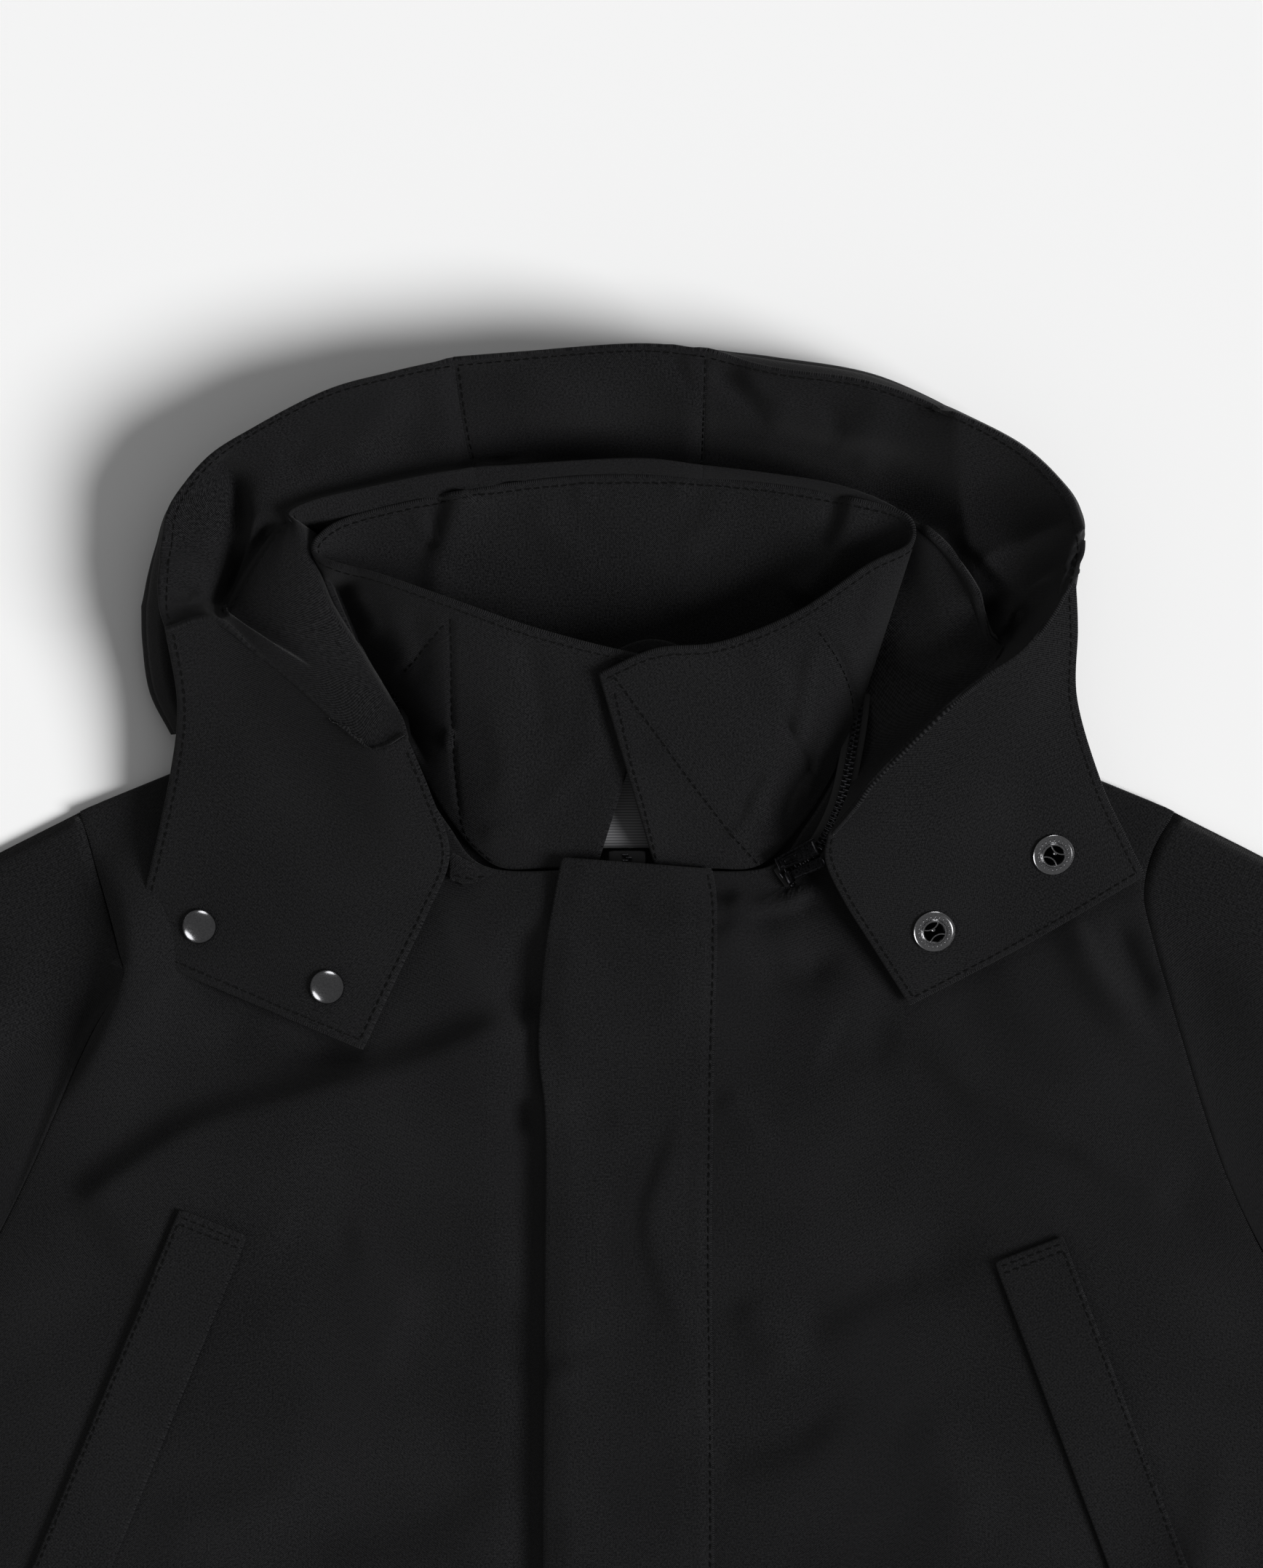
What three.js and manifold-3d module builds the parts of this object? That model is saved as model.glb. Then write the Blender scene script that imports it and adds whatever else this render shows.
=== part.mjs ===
// A hooded parka lying on its back, with the hood opened out round the stand collar.
// Millimetres. +X is the wearer's left, +Y runs towards the hood, +Z is up from the surface.
// The origin lies under the back, midway between the hem and the top of the hood.
import * as THREE from 'three';
import Module from 'manifold-3d';
import { mergeVertices } from 'three/addons/utils/BufferGeometryUtils.js';

// Cloth walls and the gap between pieces at a seam
const bodyWall = 2.5;
const collarWall = 3;
const hoodWall = 2.5;
const weltWall = 2;
const gap = 0.3;
const layGap = 1;

// Body
const hemY = -478;
const neckFrontY = 253;
const neckBackY = 319;
const zipHalf = 7.5;
const frontTop = 2 * bodyWall + gap;

// Sleeves
const sleeveHeight = 6.4;
const sleeveHollow = 1.1;
const armholeGap = 1;
const armholeSteps = 12;

// Hood
const hoodSeam = 0.5;
const steepest = 0.4;

// Flap over the front zip
const flapRight = 38;
const flapTop = 258;

// Pocket welts
const weltWidth = 30;
const weltLength = 175;

// Snap fasteners on the chin tabs
const capRadius = 7.5;
const socketRadius = 9;

// Colours
const cloth = { color: 0x1d1d1f, roughness: 0.82, metalness: 0 };
const ribbon = { color: 0x6e6e70, roughness: 0.8, metalness: 0 };
const steel = { color: 0x8d9094, roughness: 0.35, metalness: 1 };
const darkZip = { color: 0x0d0d0e, roughness: 0.6, metalness: 0 };

const part = new THREE.Group();

function addPiece(name, geometry, finish) {
  const mesh = new THREE.Mesh(geometry, new THREE.MeshStandardMaterial(finish));
  mesh.name = name;
  part.add(mesh);
  return mesh;
}

// Curves and grids

// The value of one column of a table, with its ends carried straight on
function pick(rows, index, column) {
  const last = rows.length - 1;
  if (index < 0) return 2 * rows[0][column] - rows[1][column];
  if (index > last) return 2 * rows[last][column] - rows[last - 1][column];
  return rows[index][column];
}

// A smooth curve through rows of numbers, which meets row k at place k
function through(rows, place) {
  const k = Math.min(Math.floor(place), rows.length - 2);
  const f = place - k;
  return rows[0].map((unused, column) => {
    const before = pick(rows, k - 1, column);
    const start = pick(rows, k, column);
    const end = pick(rows, k + 1, column);
    const after = pick(rows, k + 2, column);
    const bend = 2 * before - 5 * start + 4 * end - after;
    const twist = 3 * (start - end) + after - before;
    return start + 0.5 * f * (end - before + f * (bend + f * twist));
  });
}

// Points evenly spaced along one or more smooth stretches that meet at corners
function alongStretches(stretches, steps) {
  const fine = [];
  for (const stretch of stretches) {
    const pieces = (stretch.length - 1) * 12;
    for (let i = fine.length ? 1 : 0; i <= pieces; i += 1) {
      fine.push(through(stretch, (i / pieces) * (stretch.length - 1)));
    }
  }
  const lengths = [0];
  for (let i = 1; i < fine.length; i += 1) {
    const step = Math.hypot(...fine[i].map((value, c) => value - fine[i - 1][c]));
    lengths.push(lengths[i - 1] + step);
  }
  const total = lengths[lengths.length - 1];
  const points = [];
  let k = 0;
  for (let i = 0; i <= steps; i += 1) {
    const want = (total * i) / steps;
    while (k < lengths.length - 2 && lengths[k + 1] < want) k += 1;
    const f = (want - lengths[k]) / (lengths[k + 1] - lengths[k]);
    points.push(fine[k].map((value, c) => value + (fine[k + 1][c] - value) * f));
  }
  return points;
}

// A patch inside four edges: top and bottom run across, left and right run down
function patchInside(top, bottom, left, right) {
  const across = top.length - 1;
  const down = left.length - 1;
  const grid = [];
  for (let i = 0; i <= down; i += 1) {
    const v = i / down;
    const row = [];
    for (let j = 0; j <= across; j += 1) {
      const u = j / across;
      row.push(top[j].map((value, c) => (1 - v) * value + v * bottom[j][c]
        + (1 - u) * left[i][c] + u * right[i][c]
        - (1 - u) * (1 - v) * top[0][c] - u * (1 - v) * top[across][c]
        - (1 - u) * v * bottom[0][c] - u * v * bottom[across][c]));
    }
    grid.push(row);
  }
  return grid;
}

// A fine grid through a table of sections, each a list of points
function gridThrough(sections, rowSteps, columnSteps) {
  const columns = sections[0].length;
  const rows = (sections.length - 1) * rowSteps;
  const grid = [];
  for (let i = 0; i <= rows; i += 1) {
    const place = i / rowSteps;
    const points = [];
    for (let c = 0; c < columns; c += 1) {
      points.push(through(sections.map((section) => section[c]), place));
    }
    const row = [];
    for (let j = 0; j <= (columns - 1) * columnSteps; j += 1) {
      row.push(through(points, j / columnSteps));
    }
    grid.push(row);
  }
  return grid;
}

function direction(from, to) {
  return new THREE.Vector3(...to).sub(new THREE.Vector3(...from)).normalize();
}

// The way each point of a grid faces, turned so that most of the grid faces up
function facings(grid) {
  const rows = grid.length - 1;
  const columns = grid[0].length - 1;
  const facing = grid.map((row, i) => row.map((point, j) => {
    const acrossWay = direction(row[Math.max(j - 1, 0)], row[Math.min(j + 1, columns)]);
    const downWay = direction(grid[Math.max(i - 1, 0)][j], grid[Math.min(i + 1, rows)][j]);
    return acrossWay.cross(downWay).normalize();
  }));
  let up = 0;
  for (const row of facing) for (const way of row) up += way.z;
  if (up < 0) for (const row of facing) for (const way of row) way.negate();
  return facing;
}

// The under face of a wall that lies open to the sky: straight below each point, and further
// down where the wall is steep, so that it keeps its thickness
function underFace(grid, thickness) {
  const facing = facings(grid);
  return grid.map((row, i) => row.map(([x, y, z], j) => {
    const lean = Math.max(facing[i][j].z, steepest);
    return [x, y, z - thickness / lean];
  }));
}

// A grid moved straight up or down
function lifted(grid, distance) {
  return grid.map((row) => row.map(([x, y, z]) => [x, y, z + distance]));
}

// The level of a grid's surface at a place seen from above, or undefined past its edge
function levelOn(grid, x, y) {
  const share = ([ax, ay], [bx, by]) => (bx - ax) * (y - ay) - (by - ay) * (x - ax);
  for (let i = 1; i < grid.length; i += 1) {
    for (let j = 1; j < grid[0].length; j += 1) {
      const p = grid[i - 1][j - 1];
      const r = grid[i][j];
      for (const q of [grid[i - 1][j], grid[i][j - 1]]) {
        const weights = [share(q, r), share(r, p), share(p, q)];
        const total = weights[0] + weights[1] + weights[2];
        const inside = weights.every((weight) => weight / total >= -1e-6);
        if (inside) return (weights[0] * p[2] + weights[1] * q[2] + weights[2] * r[2]) / total;
      }
    }
  }
  return undefined;
}

// Closed solids

function closedGeometry(points, triangles) {
  const geometry = new THREE.BufferGeometry();
  const place = points.flat();
  let volume = 0;
  const a = new THREE.Vector3();
  const b = new THREE.Vector3();
  const c = new THREE.Vector3();
  for (const [i, j, k] of triangles) {
    volume += a.set(...points[i]).dot(b.set(...points[j]).cross(c.set(...points[k])));
  }
  const order = volume > 0 ? triangles : triangles.map(([i, j, k]) => [i, k, j]);
  geometry.setAttribute('position', new THREE.Float32BufferAttribute(place, 3));
  geometry.setIndex(order.flat());
  geometry.computeVertexNormals();
  return geometry;
}

// A wall between two grids of the same size, closed all round its edge
function wallBetween(upper, lower) {
  const rows = upper.length - 1;
  const columns = upper[0].length - 1;
  const size = (rows + 1) * (columns + 1);
  const points = [...upper.flat(), ...lower.flat()];
  const at = (i, j) => i * (columns + 1) + j;
  const triangles = [];
  const quad = (p, q, r, s) => triangles.push([p, q, r], [p, r, s]);
  for (let i = 0; i < rows; i += 1) {
    for (let j = 0; j < columns; j += 1) {
      quad(at(i, j), at(i, j + 1), at(i + 1, j + 1), at(i + 1, j));
      quad(size + at(i, j), size + at(i + 1, j), size + at(i + 1, j + 1), size + at(i, j + 1));
    }
  }
  const edge = [];
  for (let j = 0; j < columns; j += 1) edge.push(at(0, j));
  for (let i = 0; i < rows; i += 1) edge.push(at(i, columns));
  for (let j = columns; j > 0; j -= 1) edge.push(at(rows, j));
  for (let i = rows; i > 0; i -= 1) edge.push(at(i, 0));
  edge.forEach((here, k) => {
    const next = edge[(k + 1) % edge.length];
    quad(here, size + here, size + next, next);
  });
  return closedGeometry(points, triangles);
}

// A tube between outer and inner rings, open at both ends
function tubeBetween(outer, inner) {
  const rings = outer.length;
  const sides = outer[0].length;
  const size = rings * sides;
  const points = [...outer.flat(), ...inner.flat()];
  const at = (i, j) => i * sides + (j % sides);
  const triangles = [];
  const quad = (p, q, r, s) => triangles.push([p, q, r], [p, r, s]);
  for (let j = 0; j < sides; j += 1) {
    for (let i = 0; i < rings - 1; i += 1) {
      quad(at(i, j), at(i, j + 1), at(i + 1, j + 1), at(i + 1, j));
      quad(size + at(i, j), size + at(i + 1, j), size + at(i + 1, j + 1), size + at(i, j + 1));
    }
    quad(at(0, j), size + at(0, j), size + at(0, j + 1), at(0, j + 1));
    const last = rings - 1;
    quad(at(last, j), at(last, j + 1), size + at(last, j + 1), size + at(last, j));
  }
  return closedGeometry(points, triangles);
}

const mirrored = (points) => points.map(([x, ...rest]) => [-x, ...rest]);

// Body outlines, on the wearer's left

const neckLine = [[zipHalf + gap, neckFrontY], [59, neckFrontY], [78, 272], [94, 300], [105, 331]];
const backNeckLine = [[0, neckBackY], [60, 321], [105, 331]];
const shoulderLine = [[105, 331], [235, 278]];
const sideLine = [[287, 63], [293, -200], [300, hemY]];
const armholeLeft = [[235, 278], [226, 261], [222, 245], [224, 230], [236, 188], [258, 120], [287, 63]];
const armholeRight = [[235, 278], [229, 257], [219, 220], [216, 206], [231, 181], [258, 120], [287, 63]];

// Folds of the fronts, each a soft ridge along a straight run
const foldsRight = [
  { x0: -232, y0: 121, x1: -120, y1: 170, width: 11, height: 5 },
  { x0: -120, y0: 170, x1: -38, y1: 202, width: 10, height: 4 },
  { x0: -225, y0: 96, x1: -60, y1: 148, width: 16, height: 4 },
  { x0: -215, y0: 200, x1: -205, y1: 150, width: 9, height: 5 },
  { x0: -150, y0: 96, x1: -60, y1: 40, width: 16, height: 3.5 },
  { x0: -75, y0: 20, x1: -190, y1: -60, width: 18, height: 4 },
  { x0: -60, y0: -110, x1: -215, y1: -180, width: 20, height: 4 },
  { x0: -70, y0: -250, x1: -240, y1: -300, width: 22, height: 4 },
  { x0: -120, y0: -380, x1: -200, y1: -420, width: 18, height: 3 },
];
const foldsLeft = [
  { x0: 42, y0: 233, x1: 86, y1: 242, width: 5, height: 5 },
  { x0: 44, y0: 205, x1: 118, y1: 190, width: 12, height: 4 },
  { x0: 120, y0: 160, x1: 226, y1: 112, width: 13, height: 5 },
  { x0: 200, y0: 232, x1: 232, y1: 178, width: 7, height: 5 },
  { x0: 178, y0: 190, x1: 226, y1: 150, width: 9, height: 4 },
  { x0: 50, y0: 120, x1: 150, y1: 84, width: 16, height: 4 },
  { x0: 44, y0: 20, x1: 130, y1: 52, width: 14, height: 4 },
  { x0: 60, y0: -60, x1: 200, y1: -130, width: 20, height: 4 },
  { x0: 50, y0: -200, x1: 220, y1: -250, width: 20, height: 4 },
  { x0: 90, y0: -350, x1: 230, y1: -400, width: 22, height: 4 },
];
const foldsFlap = [
  { x0: -32, y0: 44, x1: 34, y1: 22, width: 8, height: 3 },
  { x0: -30, y0: 232, x1: 24, y1: 196, width: 9, height: 2.5 },
  { x0: -20, y0: 150, x1: 26, y1: 118, width: 10, height: 2 },
  { x0: -30, y0: -90, x1: 30, y1: -112, width: 10, height: 2.5 },
  { x0: -28, y0: -260, x1: 32, y1: -240, width: 11, height: 2.5 },
];

// The height that a fold gives at a place, fading out past its two ends
function ridge(fold, x, y) {
  const runX = fold.x1 - fold.x0;
  const runY = fold.y1 - fold.y0;
  const length = Math.hypot(runX, runY);
  const along = ((x - fold.x0) * runX + (y - fold.y0) * runY) / length;
  const beside = ((x - fold.x0) * runY - (y - fold.y0) * runX) / length;
  const past = Math.max(0, -along, along - length);
  return fold.height * Math.exp(-((beside / fold.width) ** 2) - (past / (1.5 * fold.width)) ** 2);
}

const foldHeight = (folds, x, y) => folds.reduce((sum, fold) => sum + ridge(fold, x, y), 0);

// The fronts rise to the collar seam at the throat and settle on the back at their outer edges
function throatRise(x, y) {
  return 4 * Math.exp(-(((y - neckFrontY) / 45) ** 2) - (x / 85) ** 2);
}

function edgeFade(x, y) {
  const side = THREE.MathUtils.smoothstep(300 - Math.abs(x), 12, 60);
  const shoulder = THREE.MathUtils.smoothstep(331 - 0.41 * (Math.abs(x) - 105) - y, 4, 60);
  const hem = THREE.MathUtils.smoothstep(y - hemY, 0, 40);
  return side * shoulder * hem;
}

function frontHeight(x, y) {
  const folds = x < 0 ? foldsRight : foldsLeft;
  return frontTop + throatRise(x, y) + edgeFade(x, y) * (1 + foldHeight(folds, x, y));
}

// Body pieces

function halfPanel(neck, armhole, centreX, across, sideSteps) {
  const pitY = armhole[armhole.length - 1][1];
  const centreTop = [centreX, neck[0][1]];
  const centrePit = [centreX, pitY];
  const centreHem = [centreX, hemY];
  const upperCentre = alongStretches([[centreTop, centrePit]], armholeSteps);
  const lowerCentre = alongStretches([[centrePit, centreHem]], sideSteps);
  const upperEdge = alongStretches([armhole], armholeSteps);
  const lowerEdge = alongStretches([sideLine], sideSteps);
  const top = alongStretches([neck, shoulderLine], across);
  const bottom = alongStretches([[centreHem, [300, hemY]]], across);
  const left = [...upperCentre, ...lowerCentre.slice(1)];
  const right = [...upperEdge, ...lowerEdge.slice(1)];
  return patchInside(top, bottom, left, right);
}

// The back is one piece: the wearer's right half, then the left half from its second column
function backPiece() {
  const across = 4;
  const sideSteps = 5;
  const left = halfPanel(backNeckLine, armholeLeft, 0, across, sideSteps);
  const right = halfPanel(backNeckLine, armholeRight, 0, across, sideSteps);
  const grid = left.map((row, i) => [...mirrored(right[i]).reverse(), ...row.slice(1)]);
  const upper = grid.map((row) => row.map(([x, y]) => [x, y, bodyWall]));
  return wallBetween(upper, lifted(upper, -bodyWall));
}

function frontGrid(side, armhole) {
  const flat = halfPanel(neckLine, armhole, zipHalf + gap, 13, 20);
  return flat.map((row) => row.map(([x, y]) => [side * x, y, frontHeight(side * x, y)]));
}

const frontGrids = { right: frontGrid(-1, armholeRight), left: frontGrid(1, armholeLeft) };

function frontPiece(grid) {
  return wallBetween(grid, lifted(grid, -bodyWall));
}

// The level of the fronts at a place, with the zip between them
function frontLevel(x, y) {
  const grid = x < 0 ? frontGrids.right : frontGrids.left;
  return levelOn(grid, x, y) ?? frontHeight(x, Math.min(y, neckFrontY));
}

// The zip between the fronts, from the hem to just above the collar seam
function frontZip() {
  const upper = [];
  const steps = 30;
  const top = neckFrontY + 8;
  for (let i = 0; i <= steps; i += 1) {
    const y = top + ((hemY + 6 - top) * i) / steps;
    upper.push([-zipHalf, 0, zipHalf].map((x) => [x, y, frontHeight(x, Math.min(y, neckFrontY))]));
  }
  return wallBetween(upper, lifted(upper, -bodyWall));
}

// Left and right edges of the flap, down the front
const flapEdges = [
  { y: flapTop, left: -27.5, right: 36, drop: 5 },
  { y: 240, left: -31, right: flapRight, drop: 0 },
  { y: 213, left: -35.5, right: flapRight, drop: 0 },
  { y: 177, left: -37.5, right: 37, drop: 0 },
  { y: 145, left: -34.5, right: 36.5, drop: 0 },
  { y: 80, left: -35, right: 36, drop: 0 },
  { y: -46, left: -36, right: 37, drop: 0 },
  { y: -260, left: -36, right: 37, drop: 0 },
  { y: hemY, left: -36, right: 37, drop: 0 },
];

function flapHeight(x, y) {
  const overCollar = 2.4 * Math.exp(-(((y - flapTop) / 14) ** 2));
  return frontLevel(x, y) + layGap + bodyWall + overCollar + foldHeight(foldsFlap, x, y);
}

function frontFlap() {
  const rows = 33;
  const across = 6;
  const table = flapEdges.map(({ y, left, right, drop }) => [y, left, right, drop]);
  const upper = [];
  for (let i = 0; i <= rows; i += 1) {
    const [y, left, right, drop] = through(table, (i / rows) * (table.length - 1));
    const row = [];
    for (let j = 0; j <= across; j += 1) {
      const x = left + ((right - left) * j) / across;
      const level = y - (drop * j) / across;
      row.push([x, level, flapHeight(x, level)]);
    }
    upper.push(row);
  }
  return wallBetween(upper, lifted(upper, -bodyWall));
}

// A slanted pocket welt, laid on its front from its upper inner corner
function pocketWelt(side, cornerX, cornerY, slant) {
  const downX = Math.sin(slant);
  const downY = -Math.cos(slant);
  const acrossX = Math.cos(slant);
  const acrossY = Math.sin(slant);
  const upper = [];
  const rows = 14;
  const columns = 3;
  for (let i = 0; i <= rows; i += 1) {
    const d = (weltLength * i) / rows;
    const row = [];
    for (let j = 0; j <= columns; j += 1) {
      const w = (weltWidth * j) / columns;
      const x = side * (cornerX + downX * d + acrossX * w);
      const y = cornerY + downY * d + acrossY * w;
      row.push([x, y, frontLevel(x, y) + layGap + weltWall]);
    }
    upper.push(row);
  }
  return wallBetween(upper, lifted(upper, -weltWall));
}

// Sleeves: collapsed tubes, on the wearer's left before any mirroring
const sleeveOuterLine = [[235, 278], [285, 253], [340, 222], [385, 182], [415, 130], [432, 85], [493, -83], [554, -251]];
const cuffOuter = [554, -251];
const cuffInner = [434, -294];
const sleeveFolds = [
  { x0: 250, y0: 225, x1: 330, y1: 120, width: 14, height: 5 },
  { x0: 300, y0: 215, x1: 380, y1: 100, width: 16, height: 4 },
  { x0: 330, y0: 20, x1: 440, y1: 40, width: 16, height: 5 },
  { x0: 360, y0: -60, x1: 460, y1: -30, width: 16, height: 4 },
  { x0: 420, y0: -150, x1: 500, y1: -190, width: 18, height: 4 },
];

function sleeve(side, armhole) {
  const across = armholeSteps;
  const down = 11;
  const seam = armhole.map(([x, y]) => [x + armholeGap, y]);
  const start = seam[0];
  const pit = seam[seam.length - 1];
  const outerLine = [start, ...sleeveOuterLine.slice(1)];
  const near = alongStretches([seam], across);
  const cuff = alongStretches([[cuffOuter, cuffInner]], across);
  const outerEdge = alongStretches([outerLine], down);
  const innerEdge = alongStretches([[pit, [340, -60], cuffInner]], down);
  const flat = patchInside(near, cuff, outerEdge, innerEdge);
  const ring = (i, edgeInset, topLevel, lowLevel) => {
    const row = flat[i];
    const upper = [];
    const lower = [];
    for (let j = 0; j <= across; j += 1) {
      const share = edgeInset + (1 - 2 * edgeInset) * (j / across);
      const [x, y] = through(row, share * across);
      const atEdge = j === 0 || j === across;
      const fold = foldHeight(sleeveFolds, x, y) * Math.min(1, 6 * share * (1 - share));
      const level = atEdge ? topLevel - (edgeInset ? 0.3 : 1.4) : topLevel + fold;
      upper.push([side * x, y, level]);
      lower.push([side * x, y, lowLevel]);
    }
    return [...upper, ...lower.reverse()];
  };
  // How far in the hollow starts, along the ring, so that the wall keeps its thickness
  const insetShare = (i) => {
    const row = flat[i];
    const width = Math.hypot(row[across][0] - row[0][0], row[across][1] - row[0][1]);
    const before = flat[Math.max(i - 1, 0)];
    const after = flat[Math.min(i + 1, down)];
    const leans = [[0, 1], [across, across - 1]].map(([end, next]) => {
      const along = direction([...before[end], 0], [...after[end], 0]);
      const acrossWay = direction([...row[end], 0], [...row[next], 0]);
      return Math.abs(along.x * acrossWay.y - along.y * acrossWay.x);
    });
    return Math.min((bodyWall + 0.6) / Math.min(...leans) / width, 0.2);
  };
  const outer = flat.map((row, i) => ring(i, 0, sleeveHeight, 0));
  const inner = flat.map((row, i) => ring(i, insetShare(i), bodyWall + sleeveHollow, bodyWall));
  return tubeBetween(outer, inner);
}

// Stand collar, from the wearer's right front edge round the back to the overlapping left edge
const collarStations = [
  { base: [-14, 255, 8.8], top: [14, 343, 40] },
  { base: [-36, 255, 8.5], top: [-14, 349, 43] },
  { base: [-57, 256.5, 8], top: [-46, 358, 45] },
  { base: [-75, 275, 8], top: [-77, 369, 46] },
  { base: [-91, 302, 8], top: [-106, 379, 45] },
  { base: [-103, 334, 6.5], top: [-130, 392, 37] },
  { base: [-90, 331.5, 2.2], top: [-112, 406, 29.5] },
  { base: [-50, 325, 2.2], top: [-52, 418, 31] },
  { base: [0, neckBackY + 3, 2.2], top: [0, 422, 31] },
  { base: [50, 325, 2.2], top: [54, 419, 31] },
  { base: [90, 331.5, 2.2], top: [100, 411, 30] },
  { base: [103, 334, 6.5], top: [121, 399, 37] },
  { base: [91, 302, 8], top: [103, 383, 46] },
  { base: [75, 275, 8.5], top: [73, 363, 48] },
  { base: [57, 256.5, 9], top: [40, 350, 48] },
  { base: [36, 255, 10], top: [12, 347, 48] },
  { base: [13, 255, 11], top: [-11, 337, 45] },
];

// The collar's wall, about a middle surface that runs from its seam to its top edge
function collar() {
  const sections = collarStations.map(({ base, top }) => {
    const middle = base.map((value, c) => (value + top[c]) / 2);
    return [base, middle, top];
  });
  const grid = gridThrough(sections, 3, 2);
  const middle = facingAway(grid, collarWall / 2);
  return wallBetween(middle.outer, middle.inner);
}

// Both faces of a wall about a middle grid that turns right round, with no side kept up
function facingAway(grid, half) {
  const rows = grid.length - 1;
  const columns = grid[0].length - 1;
  const shift = (amount) => grid.map((row, i) => row.map((point, j) => {
    const acrossWay = direction(row[Math.max(j - 1, 0)], row[Math.min(j + 1, columns)]);
    const downWay = direction(grid[Math.max(i - 1, 0)][j], grid[Math.min(i + 1, rows)][j]);
    const way = acrossWay.cross(downWay).normalize().multiplyScalar(amount);
    return [point[0] + way.x, point[1] + way.y, point[2] + way.z];
  }));
  return { outer: shift(half), inner: shift(-half) };
}

// Hood. Each section runs from under the collar over a crest, down a valley and out to the rim.
// The first section of each side is the ridge where its chin tab turns out.
const ridgeRight = [[-93, 311, 54], [-106, 305, 50], [-140, 330, 48], [-178, 362, 45], [-197, 357, 37]];
const ridgeLeft = [[87, 269, 36], [106, 293, 42], [134, 321, 46], [166, 349, 48], [191, 377, 45]];
const pocketRight = [[-103.5, 330, 42], [-107, 328, 54], [-136, 338, 27], [-168, 367, 27], [-200, 370, 37]];
const pocketLeft = [[98, 297, 21], [112, 315, 23], [138, 334, 19], [166, 358, 30], [194, 390, 45]];

const sectionsRight = [
  { neck: [-116, 358, 3], foot: [-121, 363, 5], tuck: [-124.5, 364, 36], crest: [-128, 362, 55],
    valley: [-157, 367, 21], fold: [-179, 377, 42], rim: [-201, 379, 36], bulge: 7 },
  { neck: [-117, 365, 3], foot: [-131, 387, 7], tuck: [-136, 390, 34], crest: [-139.5, 388, 53],
    valley: [-163, 383, 20], fold: [-175, 388, 42], rim: [-200, 391, 36], bulge: 5 },
  { neck: [-113, 369, 3], foot: [-134, 399, 9], tuck: [-140, 403, 31], crest: [-147, 406, 50],
    valley: [-160, 398, 18], fold: [-170, 403, 41], rim: [-195, 407, 38], bulge: 2 },
  { neck: [-106, 368, 3], foot: [-129, 397, 14], tuck: [-136, 405, 28], crest: [-144, 411, 49],
    valley: [-153, 410, 16], fold: [-165, 415, 36], rim: [-178, 428, 42], bulge: 1 },
  { neck: [-98, 361, 3], foot: [-116, 392, 16], tuck: [-122, 410, 26], crest: [-129, 415, 46],
    valley: [-137, 419, 15], fold: [-152, 431, 31], rim: [-162, 439, 42], bulge: 1 },
  { neck: [-86, 349, 3], foot: [-93, 384, 11], tuck: [-98, 415, 26], crest: [-102, 421, 43],
    valley: [-107, 428, 14], fold: [-119, 443, 30], rim: [-128, 457, 42], bulge: 1 },
  { neck: [-60, 346, 3], foot: [-64, 384, 12], tuck: [-67, 420, 26], crest: [-70, 427, 41],
    valley: [-75, 434, 12], fold: [-84, 448, 28], rim: [-92, 468, 42], bulge: 1 },
];
const seamRight = { neck: [-45, 345, 3], foot: [-50, 384, 12], tuck: [-54, 422.5, 26], crest: [-56, 429, 41],
  valley: [-61, 436, 12], fold: [-68, 450, 28], rim: [-73, 471, 42], bulge: 1 };
const centreSection = { neck: [0, 344, 3], foot: [0, 385, 12], tuck: [0, 426, 26], crest: [0, 432, 40],
  valley: [0, 439, 10], fold: [0, 454, 26], rim: [0, 477, 42], bulge: 1 };
const seamLeft = { neck: [42, 345, 3], foot: [43, 384, 12], tuck: [43, 424.5, 26], crest: [43, 430, 40],
  valley: [41, 437, 10], fold: [36, 452, 26], rim: [34, 475, 42], bulge: 2 };
const sectionsLeft = [
  { neck: [58, 346, 3], foot: [60, 384, 12], tuck: [61, 422, 26], crest: [62, 427, 40],
    valley: [63, 433, 10], fold: [62, 449, 28], rim: [62, 467, 43], bulge: 6 },
  { neck: [78, 348, 3], foot: [82, 383, 12], tuck: [86, 417, 26], crest: [88, 422, 40],
    valley: [92, 428, 10], fold: [96, 441, 28], rim: [102, 461, 44], bulge: 5 },
  { neck: [93, 350, 3], foot: [103, 380, 12], tuck: [110, 411, 26], crest: [113, 416, 40],
    valley: [119, 420, 10], fold: [127, 434, 30], rim: [142, 447, 45], bulge: 3 },
  { neck: [102, 352, 3], foot: [124, 388, 9], tuck: [127, 398, 27], crest: [131, 401, 40],
    valley: [145, 394, 8], fold: [161, 413, 25], rim: [174, 428, 46], bulge: 3 },
  { neck: [109, 350, 3], foot: [125, 369, 6], tuck: [129, 374, 27], crest: [135, 379, 37],
    valley: [150, 369, 8], fold: [172, 390, 25], rim: [190, 405, 46], bulge: 4 },
  { neck: [115, 344, 3], foot: [118, 346, 5], tuck: [120, 347, 20], crest: [128, 354, 28],
    valley: [148, 350, 10], fold: [173, 375, 27], rim: [194, 397, 46], bulge: 6 },
];

const columnsOf = ({ tuck, crest, valley, fold, rim }) => [tuck, crest, valley, fold, rim];
const rowSteps = 2;
const columnSteps = 3;
const hoodGridOf = (sections) => gridThrough(sections, rowSteps, columnSteps);
const hoodGrids = {
  right: hoodGridOf([ridgeRight, pocketRight, ...sectionsRight.map(columnsOf), columnsOf(seamRight)]),
  centre: hoodGridOf([seamRight, centreSection, seamLeft].map(columnsOf)),
  left: hoodGridOf([columnsOf(seamLeft), ...sectionsLeft.map(columnsOf), pocketLeft, ridgeLeft]),
};

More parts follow.
